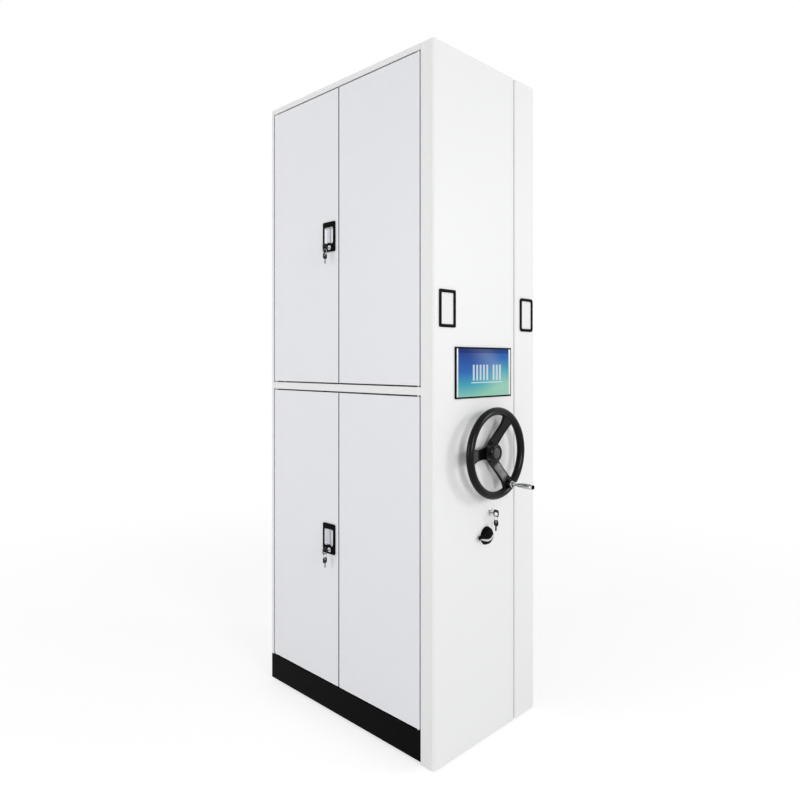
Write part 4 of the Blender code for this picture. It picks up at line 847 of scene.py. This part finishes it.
# Handwheel: one moulding in black plastic, a round rim on three dished spokes that widen into
# the rim and the hub, with a boss for the crank. A flat cap closes the hub over the shaft's nut.
RIM_OUT = 0.050
RIM_RADIUS = 0.141
RIM_TUBE = 0.0135
RIM_SIDES = 128
RIM_TUBE_SIDES = 28
SPOKE_COUNT = 3
SPOKE_FIRST = radians(180)
SPOKE_HALF_WIDTH = 0.0175
SPOKE_HUB_FLARE = 0.006
SPOKE_RIM_FLARE = 0.016
SPOKE_THICKNESS = 0.012
SPOKE_STATIONS = 40
SPOKE_RAIL = 0.0036
SPOKE_PANEL_DEPTH = 0.0018
SPOKE_PANEL_SLOPE = 0.0012
SPOKE_RIM_FADE = 0.15
SPOKE_HUB_FADE = 0.30
SPOKE_ROUND = 0.002
DISH_AT_HUB = 0.022
HUB_RADIUS = 0.031
HUB_FRONT = 0.0455
HUB_STATIONS = ((HUB_FRONT, 0.0295, 0.0), (0.044, HUB_RADIUS, 0.0), (0.0415, HUB_RADIUS, 0.01),
                (0.036, 0.032, 0.11), (0.017, 0.032, 0.11), (0.013, 0.029, 0.11),
                (0.009, 0.022, 0.0), (0.0055, 0.020, 0.0), (0.004, 0.0185, 0.0))
HUB_SIDES = 72
CAP_HEIGHT = 0.008
CAP_ROUND = ((0.0235, 0.0), (0.027, 0.001), (0.030, 0.004), (0.030, CAP_HEIGHT))
CAP_LIP = 0.0006
CAP_BREAK = 0.0004
DISC_RADIUS = 0.0182
DISC_SUNK = 0.0022
DISC_LOW = 0.0004
DISC_STEPS = 10
DISC_FLATNESS = 0.6
CRANK_ANGLE = radians(-60)
CRANK_RADIUS = 0.127
BOSS_FRONT = 0.066
BOSS_ROUND = ((0.0125, 0.0), (0.014, 0.0015), (0.014, 0.006), (0.0155, 0.010),
              (0.0155, BOSS_FRONT - RIM_OUT))
BOSS_SIDES = 48
SATIN_BLACK = (0.0018, 0.0018, 0.0019)
CAP_GREY = (0.036, 0.036, 0.038)


def smooth_rise(share):
    return share * share * (3 - 2 * share)


def edge_profile(points, top):
    """Profile of a rounded edge, from its (radius, depth below the top) points."""
    return [(radius, top - depth) for radius, depth in points]


def lofted(rings):
    """Closed skin over rings of points, all with the same count."""
    shape = bmesh.new()
    lines = [[shape.verts.new(point) for point in ring] for ring in rings]
    for first, second in zip(lines, lines[1:]):
        for k in range(len(first)):
            shape.faces.new((first[k - 1], second[k - 1], second[k], first[k]))
    shape.faces.new(lines[0])
    shape.faces.new(lines[-1])
    bmesh.ops.recalc_face_normals(shape, faces=shape.faces)
    return shape


def spoke_shape():
    """Dished spoke along local X: a strip with raised rails, lofted from the hub into the rim."""
    inner = HUB_RADIUS / 2
    outer = RIM_RADIUS - RIM_TUBE / 3
    rings = []
    for k in range(SPOKE_STATIONS + 1):
        share = k / SPOKE_STATIONS
        half = SPOKE_HALF_WIDTH + SPOKE_HUB_FLARE * (1 - share) ** 3 + SPOKE_RIM_FLARE * share ** 6
        middle = DISH_AT_HUB + (RIM_OUT - DISH_AT_HUB) * smooth_rise(share)
        front = middle + SPOKE_THICKNESS / 2
        back = middle - SPOKE_THICKNESS / 2
        panel = half - SPOKE_RAIL
        rim_fade = smooth_rise(min(1.0, (1 - share) / SPOKE_RIM_FADE))
        hub_fade = smooth_rise(min(1.0, share / SPOKE_HUB_FADE))
        floor = front - SPOKE_PANEL_DEPTH * rim_fade * hub_fade
        flat = panel - SPOKE_PANEL_SLOPE
        face = half - SPOKE_ROUND
        shoulder = front - SPOKE_ROUND
        heel = back + SPOKE_ROUND
        section = [(-half, heel), (-half, shoulder), (-face, front), (-panel, front), (-flat, floor),
                   (flat, floor), (panel, front), (face, front), (half, shoulder), (half, heel),
                   (face, back), (-face, back)]
        x = inner + (outer - inner) * share
        rings.append([(x, across, out) for across, out in section])
    return lofted(rings)


def hub_shape():
    """Hub that is round under the cap and swells towards the three spokes."""
    turns = [k * tau / HUB_SIDES for k in range(HUB_SIDES)]
    rings = []
    for out, radius, lobe in HUB_STATIONS:
        ring = []
        for turn in turns:
            reach = radius * (1 + lobe * cos(SPOKE_COUNT * (turn - SPOKE_FIRST)))
            ring.append((reach * cos(turn), reach * sin(turn), out))
        rings.append(ring)
    return lofted(rings)


satin_black = moulded("handwheel_plastic", SATIN_BLACK, roughness=0.21, grain_depth=0.00003,
                      gloss=0.17)
rim = turned(arc((RIM_RADIUS, RIM_OUT), RIM_TUBE, tau, 0.0, RIM_TUBE_SIDES), RIM_SIDES)
spokes = []
for k in range(SPOKE_COUNT):
    turn = Matrix.Rotation(SPOKE_FIRST + k * tau / SPOKE_COUNT, 4, "Z")
    spokes.append(moved(spoke_shape(), turn))
boss = turned([(0.0, BOSS_FRONT), *edge_profile(BOSS_ROUND, BOSS_FRONT), (0.0, RIM_OUT)], BOSS_SIDES)
boss_at = (CRANK_RADIUS * cos(CRANK_ANGLE), CRANK_RADIUS * sin(CRANK_ANGLE), 0.0)
moved(boss, Matrix.Translation(boss_at))
wheel_place = facing(wheel_axis, OUT_OF_PANEL)
make_piece("handwheel_moulding", joined(rim, hub_shape(), boss, *spokes), satin_black, "handwheel",
           wheel_place, stands_for="handwheel")

cap_base = HUB_FRONT + FIT_GAP
cap_top = cap_base + CAP_HEIGHT
disc_base = cap_top - DISC_SUNK
cap_ring = turned([(0.0, disc_base), (DISC_RADIUS, disc_base), (DISC_RADIUS, cap_top - CAP_LIP),
                   (DISC_RADIUS + CAP_LIP, cap_top), *edge_profile(CAP_ROUND, cap_top),
                   (0.0, cap_base)])
make_piece("hub_cap_ring", cap_ring, satin_black, "handwheel", wheel_place, CAP_BREAK,
           "hub_cap")
cap_grey = moulded("hub_cap_plastic", CAP_GREY, roughness=0.36, grain_depth=0.00004, gloss=0.40)
disc_edge = DISC_RADIUS - FIT_GAP
dome = []
for k in range(DISC_STEPS):
    turn = k / DISC_STEPS * pi / 2
    rise = (DISC_SUNK - DISC_LOW) * cos(turn) ** DISC_FLATNESS
    dome.append((disc_edge * sin(turn), disc_base + rise))
disc = turned(dome + [(disc_edge, disc_base), (0.0, disc_base)])
make_piece("hub_cap_disc", disc, cap_grey, "handwheel", wheel_place)

# Folding crank: a plated clevis on the boss, a steel spindle that folds on its cross pin, and a
# turned grip that spins on it. A black plastic cap is pressed on the end.
CLEVIS_BASE = 0.0035
CLEVIS_RADIUS = 0.011
CLEVIS_GAP = 0.0076
EAR_THICKNESS = 0.004
EAR_HALF_WIDTH = 0.006
EAR_EDGE = 0.0005
FOLD_AXIS_HEIGHT = 0.010
FOLD_PIN_RADIUS = 0.003
EYE_RADIUS = 0.0055
CRANK_TONGUE_HALF = 0.0044
CRANK_LENGTH = 0.078
CRANK_ROD_RADIUS = 0.005
CRANK_ROD_START = 0.009
CRANK_HEAD = 0.004
CRANK_TIP_ROUND = ((0.0043, 0.0), (0.0065, 0.0008), (0.0075, 0.002), (0.0075, CRANK_HEAD))
CRANK_CAP_EDGE = 0.0003
CRANK_CHAMFER = 0.0006
GRIP_START = 0.016
GRIP_RADIUS = 0.0088
GRIP_WAIST_RADIUS = 0.0072
GRIP_END_ROUND = ((0.0073, 0.0), (0.0079, 0.0006), (0.0085, 0.00264), (GRIP_RADIUS, 0.0044))
GRIP_STEPS = 8
GRIP_FOOT = 0.0008
SIDEWAYS = Matrix.Rotation(pi / 2, 4, "X")
crank_place = facing(joint_at["crank_fold"], OUT_OF_PANEL) @ Matrix.Rotation(CRANK_ANGLE, 4, "Z")
ear_low = -FOLD_AXIS_HEIGHT + CLEVIS_BASE / 2
outline = [(EAR_HALF_WIDTH, ear_low)] + arc((0.0, 0.0), EAR_HALF_WIDTH, 0.0, pi, steps=20)
outline.append((-EAR_HALF_WIDTH, ear_low))
ears = []
for side in (1, -1):
    ear_at = Matrix.Translation((0, side * (CLEVIS_GAP + EAR_THICKNESS) / 2, 0)) @ SIDEWAYS
    ears.append(moved(flat_piece([outline], EAR_THICKNESS, EAR_EDGE), ear_at))
clevis_foot = bar(CLEVIS_RADIUS, -FOLD_AXIS_HEIGHT, CLEVIS_BASE - FOLD_AXIS_HEIGHT, CRANK_CHAMFER)
make_piece("crank_clevis", joined(clevis_foot, *ears), chrome, "handwheel", crank_place,
           stands_for="crank_pivot")

eye_half = CLEVIS_GAP / 2 - FIT_GAP
pin_half = CLEVIS_GAP / 2 + EAR_THICKNESS
crank_head_start = CRANK_LENGTH - CRANK_HEAD
tongue = arc((0.0, CRANK_ROD_START), CRANK_TONGUE_HALF, 0.0, pi, steps=12)
tongue += [(-CRANK_TONGUE_HALF, 0.0), (CRANK_TONGUE_HALF, 0.0)]
crank_bar = joined(bar(CRANK_ROD_RADIUS, CRANK_ROD_START, crank_head_start, CRANK_CHAMFER),
                   moved(bar(EYE_RADIUS, -eye_half, eye_half, EAR_EDGE), SIDEWAYS),
                   moved(bar(FOLD_PIN_RADIUS, -pin_half, pin_half, CRANK_CHAMFER), SIDEWAYS),
                   moved(flat_piece([tongue], 2 * eye_half, EAR_EDGE), SIDEWAYS))
make_piece("crank_bar", crank_bar, chrome, "crank", crank_place, stands_for="crank_spindle")
crank_cap = turned([(0.0, CRANK_LENGTH), *edge_profile(CRANK_TIP_ROUND, CRANK_LENGTH),
                    (0.0, crank_head_start)], FINE_SIDES)
make_piece("crank_end_cap", crank_cap, black_plastic, "crank", crank_place,
           CRANK_CAP_EDGE)
grip_end = crank_head_start - FIT_GAP
grip_bore = CRANK_ROD_RADIUS + FIT_GAP
grip_middle = (GRIP_START + grip_end) / 2
profile = [(grip_bore, grip_end), *edge_profile(GRIP_END_ROUND, grip_end)]
for k in range(GRIP_STEPS + 1):
    share = k / GRIP_STEPS
    radius = GRIP_RADIUS - (GRIP_RADIUS - GRIP_WAIST_RADIUS) * smooth_rise(share)
    profile.append((radius, grip_middle - (grip_middle - GRIP_START - GRIP_FOOT) * share))
profile += [(GRIP_WAIST_RADIUS - GRIP_FOOT, GRIP_START), (grip_bore, GRIP_START),
            (grip_bore, grip_end)]
make_piece("crank_turned_grip", turned(profile, FINE_SIDES), chrome, "grip", crank_place,
           stands_for="crank_grip")

# Brake: a black moulded knob on a round plate, its rose, with a lever on its left and a bright
# curved band pressed across it. Its spindle carries a pawl that turns against the chain.
ROSE_THICKNESS = 0.003
ROSE_ROUND = ((0.0294, 0.0), (0.0306, 0.0005), (0.031, 0.0016), (0.031, ROSE_THICKNESS - FIT_GAP))
KNOB_HEIGHT = 0.015
KNOB_ROUND = ((0.0164, 0.0), (0.0189, 0.0006), (0.0230, 0.0037), (0.0264, 0.0066),
              (0.0280, 0.0090), (0.0280, 0.0144), (0.0274, KNOB_HEIGHT))
LEVER_REACH = 0.050
LEVER_HALF_WIDTH = 0.008
LEVER_ROOT = 0.012
LEVER_THICKNESS = 0.008
LEVER_EDGE = 0.0016
LEVER_OUT = 0.0075
SPINDLE_RADIUS = 0.005
SPINDLE_GAP = 0.0005
PAWL_REACH = 0.0259
PAWL_HALF_WIDTH = 0.005
PAWL_THICKNESS = 0.006
PAWL_EDGE = 0.0006
BAND_STATIONS = ((-0.0490, -0.0010, 0.0008, 0.0152), (-0.0400, -0.0045, 0.0024, 0.0160),
                 (-0.0260, -0.0085, 0.0034, 0.0172), (-0.0120, -0.0112, 0.0038, 0.0189),
                 (-0.0020, -0.0112, 0.0038, 0.0190), (0.0070, -0.0080, 0.0036, 0.0190),
                 (0.0150, -0.0010, 0.0030, 0.0190), (0.0187, 0.0030, 0.0022, 0.0184),
                 (0.0210, 0.0070, 0.0012, 0.0162))
BAND_STEPS = 6
BAND_FOOT = 0.012
BAND_ROUND = 0.0009
BAND_ROUND_SHARE = 0.6


def smooth_through(stations, steps):
    """Values on a smooth curve through all the stations, with a few steps between each two."""
    ends = [stations[0], *stations, stations[-1]]
    made = []
    for quad in zip(ends, ends[1:], ends[2:], ends[3:]):
        for k in range(steps):
            t = k / steps
            made.append([b + t * (c - a) / 2 + t * t * (a - 2.5 * b + 2 * c - d / 2)
                         + t ** 3 * (1.5 * (b - c) + (d - a) / 2) for a, b, c, d in zip(*quad)])
    return made + [stations[-1]]


def band_shape():
    """Curved bright band: narrow at the lever's tip, widest across the knob."""
    stations = smooth_through(BAND_STATIONS, BAND_STEPS)
    points = [Vector(station[:2]) for station in stations]
    rings = []
    for k, (point, (_, _, half, top)) in enumerate(zip(points, stations)):
        along = points[min(k + 1, len(points) - 1)] - points[max(k - 1, 0)]
        across = Vector((-along.y, along.x)).normalized()
        edge = min(BAND_ROUND, half * BAND_ROUND_SHARE)
        section = [(-half, BAND_FOOT), (-half, top - edge), (-half + edge, top), (half - edge, top),
                   (half, top - edge), (half, BAND_FOOT)]
        rings.append([(*(point + across * offset), out) for offset, out in section])
    return lofted(rings)


brake_axis = joint_at["brake_turn"]
brake_place = facing(brake_axis, OUT_OF_PANEL)
rose_bore = SPINDLE_RADIUS + SPINDLE_GAP
rose = turned([(rose_bore, ROSE_THICKNESS), *edge_profile(ROSE_ROUND, ROSE_THICKNESS),
               (rose_bore, FIT_GAP), (rose_bore, ROSE_THICKNESS)])
make_piece("brake_round_plate", rose, black_plastic, "carriage", brake_place,
           stands_for="brake_escutcheon")
inner_end = brake_axis.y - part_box("brake_knob")[1].y
knob_base = ROSE_THICKNESS + FIT_GAP
knob_top = knob_base + KNOB_HEIGHT
knob = turned([(0.0, knob_top), *edge_profile(KNOB_ROUND, knob_top), (SPINDLE_RADIUS, knob_base),
               (SPINDLE_RADIUS, inner_end), (0.0, inner_end)])
lever = arc((LEVER_HALF_WIDTH - LEVER_REACH, 0.0), LEVER_HALF_WIDTH, pi / 2, 3 * pi / 2, steps=24)
lever += [(0.0, -LEVER_ROOT), (0.0, LEVER_ROOT)]
lever_arm = raised(flat_piece([lever], LEVER_THICKNESS, LEVER_EDGE), knob_base + LEVER_OUT)
half = PAWL_HALF_WIDTH
pawl = [(-half, 0.0), (half, 0.0), (half, PAWL_REACH), (-half, PAWL_REACH)]
pawl_arm = raised(flat_piece([pawl], PAWL_THICKNESS, PAWL_EDGE), inner_end + PAWL_THICKNESS / 2)
make_piece("brake_moulded_knob", joined(knob, lever_arm, pawl_arm), black_plastic, "brake",
           brake_place, stands_for="brake_knob")
make_piece("brake_bright_band", band_shape(), chrome, "brake", brake_place)

# Panel lock: a plated barrel in the end panel with the same plug, key and spare as the doors.
# A round flange covers the hole in the sheet.
BARREL_RADIUS = 0.011
BARREL_FLANGE = 0.003
BARREL_DEPTH = 0.022
FLANGE_ROUND = ((0.0131, 0.0), (0.0142, 0.0006), (0.0145, 0.0016), (0.0145, BARREL_FLANGE - FIT_GAP))
barrel_bore = PLUG_RADIUS + PLUG_GAP
barrel = turned([(barrel_bore, BARREL_FLANGE), *edge_profile(FLANGE_ROUND, BARREL_FLANGE),
                 (BARREL_RADIUS, FIT_GAP), (BARREL_RADIUS, -BARREL_DEPTH),
                 (barrel_bore, -BARREL_DEPTH), (barrel_bore, BARREL_FLANGE)], FINE_SIDES)
make_piece("panel_lock_flanged_barrel", barrel, chrome, "carriage",
           facing(joint_at["panel_lock_turn"], OUT_OF_PANEL), stands_for="panel_lock_barrel")
fit_lock("panel", "panel", OUT_OF_PANEL)

# Studio: a plain white floor and backdrop, soft lights over the end panel and on the door side,
# and the camera at the photograph's place.
FLOOR_SIZE = 60.0
FLOOR_ALBEDO = 0.80
FLOOR_SHADED = 0.40
FLOOR_GLOW = 0.70
FLOOR_NEAR = 1.2
FLOOR_FAR = 4.0
AMBIENT = 0.50


def seen_directly(tree):
    """1 for rays that show the studio itself: to the camera, in a mirror or through glass."""
    seen = Shade(tree).add("ShaderNodeLightPath", {}, {}, "Is Camera Ray")
    for ray in ("Is Glossy Ray", "Is Transmission Ray"):
        seen = seen.maths("MAXIMUM", seen, seen.add("ShaderNodeLightPath", {}, {}, ray))
    return seen


def grey(level):
    return (level, level, level, 1.0)


bpy.ops.mesh.primitive_plane_add(size=FLOOR_SIZE)
floor = bpy.context.object
floor.name = "studio_floor"
floor_finish, _, place = new_finish("studio_floor")
tree = floor_finish.node_tree
tree.nodes.remove(tree.nodes["Principled BSDF"])
seen = seen_directly(tree)
lit = seen.add("ShaderNodeBsdfDiffuse", {}, {"Color": grey(FLOOR_ALBEDO)})
shaded = seen.add("ShaderNodeBsdfDiffuse", {}, {"Color": grey(FLOOR_SHADED)})
glow = seen.add("ShaderNodeEmission", {}, {"Color": grey(1.0), "Strength": FLOOR_GLOW})
near = seen.add("ShaderNodeAddShader", {}, {0: shaded, 1: glow})
white = seen.add("ShaderNodeEmission", {}, {"Color": grey(1.0), "Strength": 1.0})
far = place.length().step(FLOOR_NEAR, FLOOR_FAR)
shown = seen.add("ShaderNodeMixShader", {}, {0: far, 1: near, 2: white})
surface = seen.add("ShaderNodeMixShader", {}, {0: seen, 1: lit, 2: shown})
seen.feed(tree.nodes["Material Output"].inputs, {"Surface": surface})
floor.data.materials.append(floor_finish)

world = bpy.data.worlds.new("studio")
world.use_nodes = True
bpy.context.scene.world = world
seen = seen_directly(world.node_tree)
backdrop = world.node_tree.nodes["Background"].inputs
seen.feed(backdrop, {"Color": grey(1.0), "Strength": AMBIENT + (1.0 - AMBIENT) * seen})


def soft_light(name, at, aim, size, power):
    lamp = bpy.data.lights.new(name, "AREA")
    lamp.shape = "RECTANGLE"
    lamp.size = size[0]
    lamp.size_y = size[1]
    lamp.energy = power
    holder = bpy.data.objects.new(name, lamp)
    holder.location = at
    holder.rotation_euler = (Vector(aim) - Vector(at)).to_track_quat("-Z", "Y").to_euler()
    bpy.context.scene.collection.objects.link(holder)


soft_light("key_light", at=(3.4, -4.5, 2.4), aim=(0.0, -0.3, 1.2), size=(1.1, 1.1), power=56.0)
soft_light("door_side_light", at=(-5.2, 1.9, 1.9), aim=(-0.2, 0.2, 1.1), size=(2.4, 2.4), power=90.0)
soft_light("front_light", at=(-1.4, -4.7, 2.0), aim=(0.0, -0.3, 1.15), size=(1.3, 1.8), power=76.0)

camera_data = bpy.data.cameras.new("camera")
camera_data.lens = 29.81
camera_data.sensor_width = 36.0
camera_data.shift_y = -0.0475
camera = bpy.data.objects.new("camera", camera_data)
camera.location = (-1.80935, -1.74145, 1.288)
camera.rotation_euler = (radians(90), 0.0, radians(-45.37))
bpy.context.scene.collection.objects.link(camera)
bpy.context.scene.camera = camera
bpy.context.scene.view_settings.view_transform = "Standard"
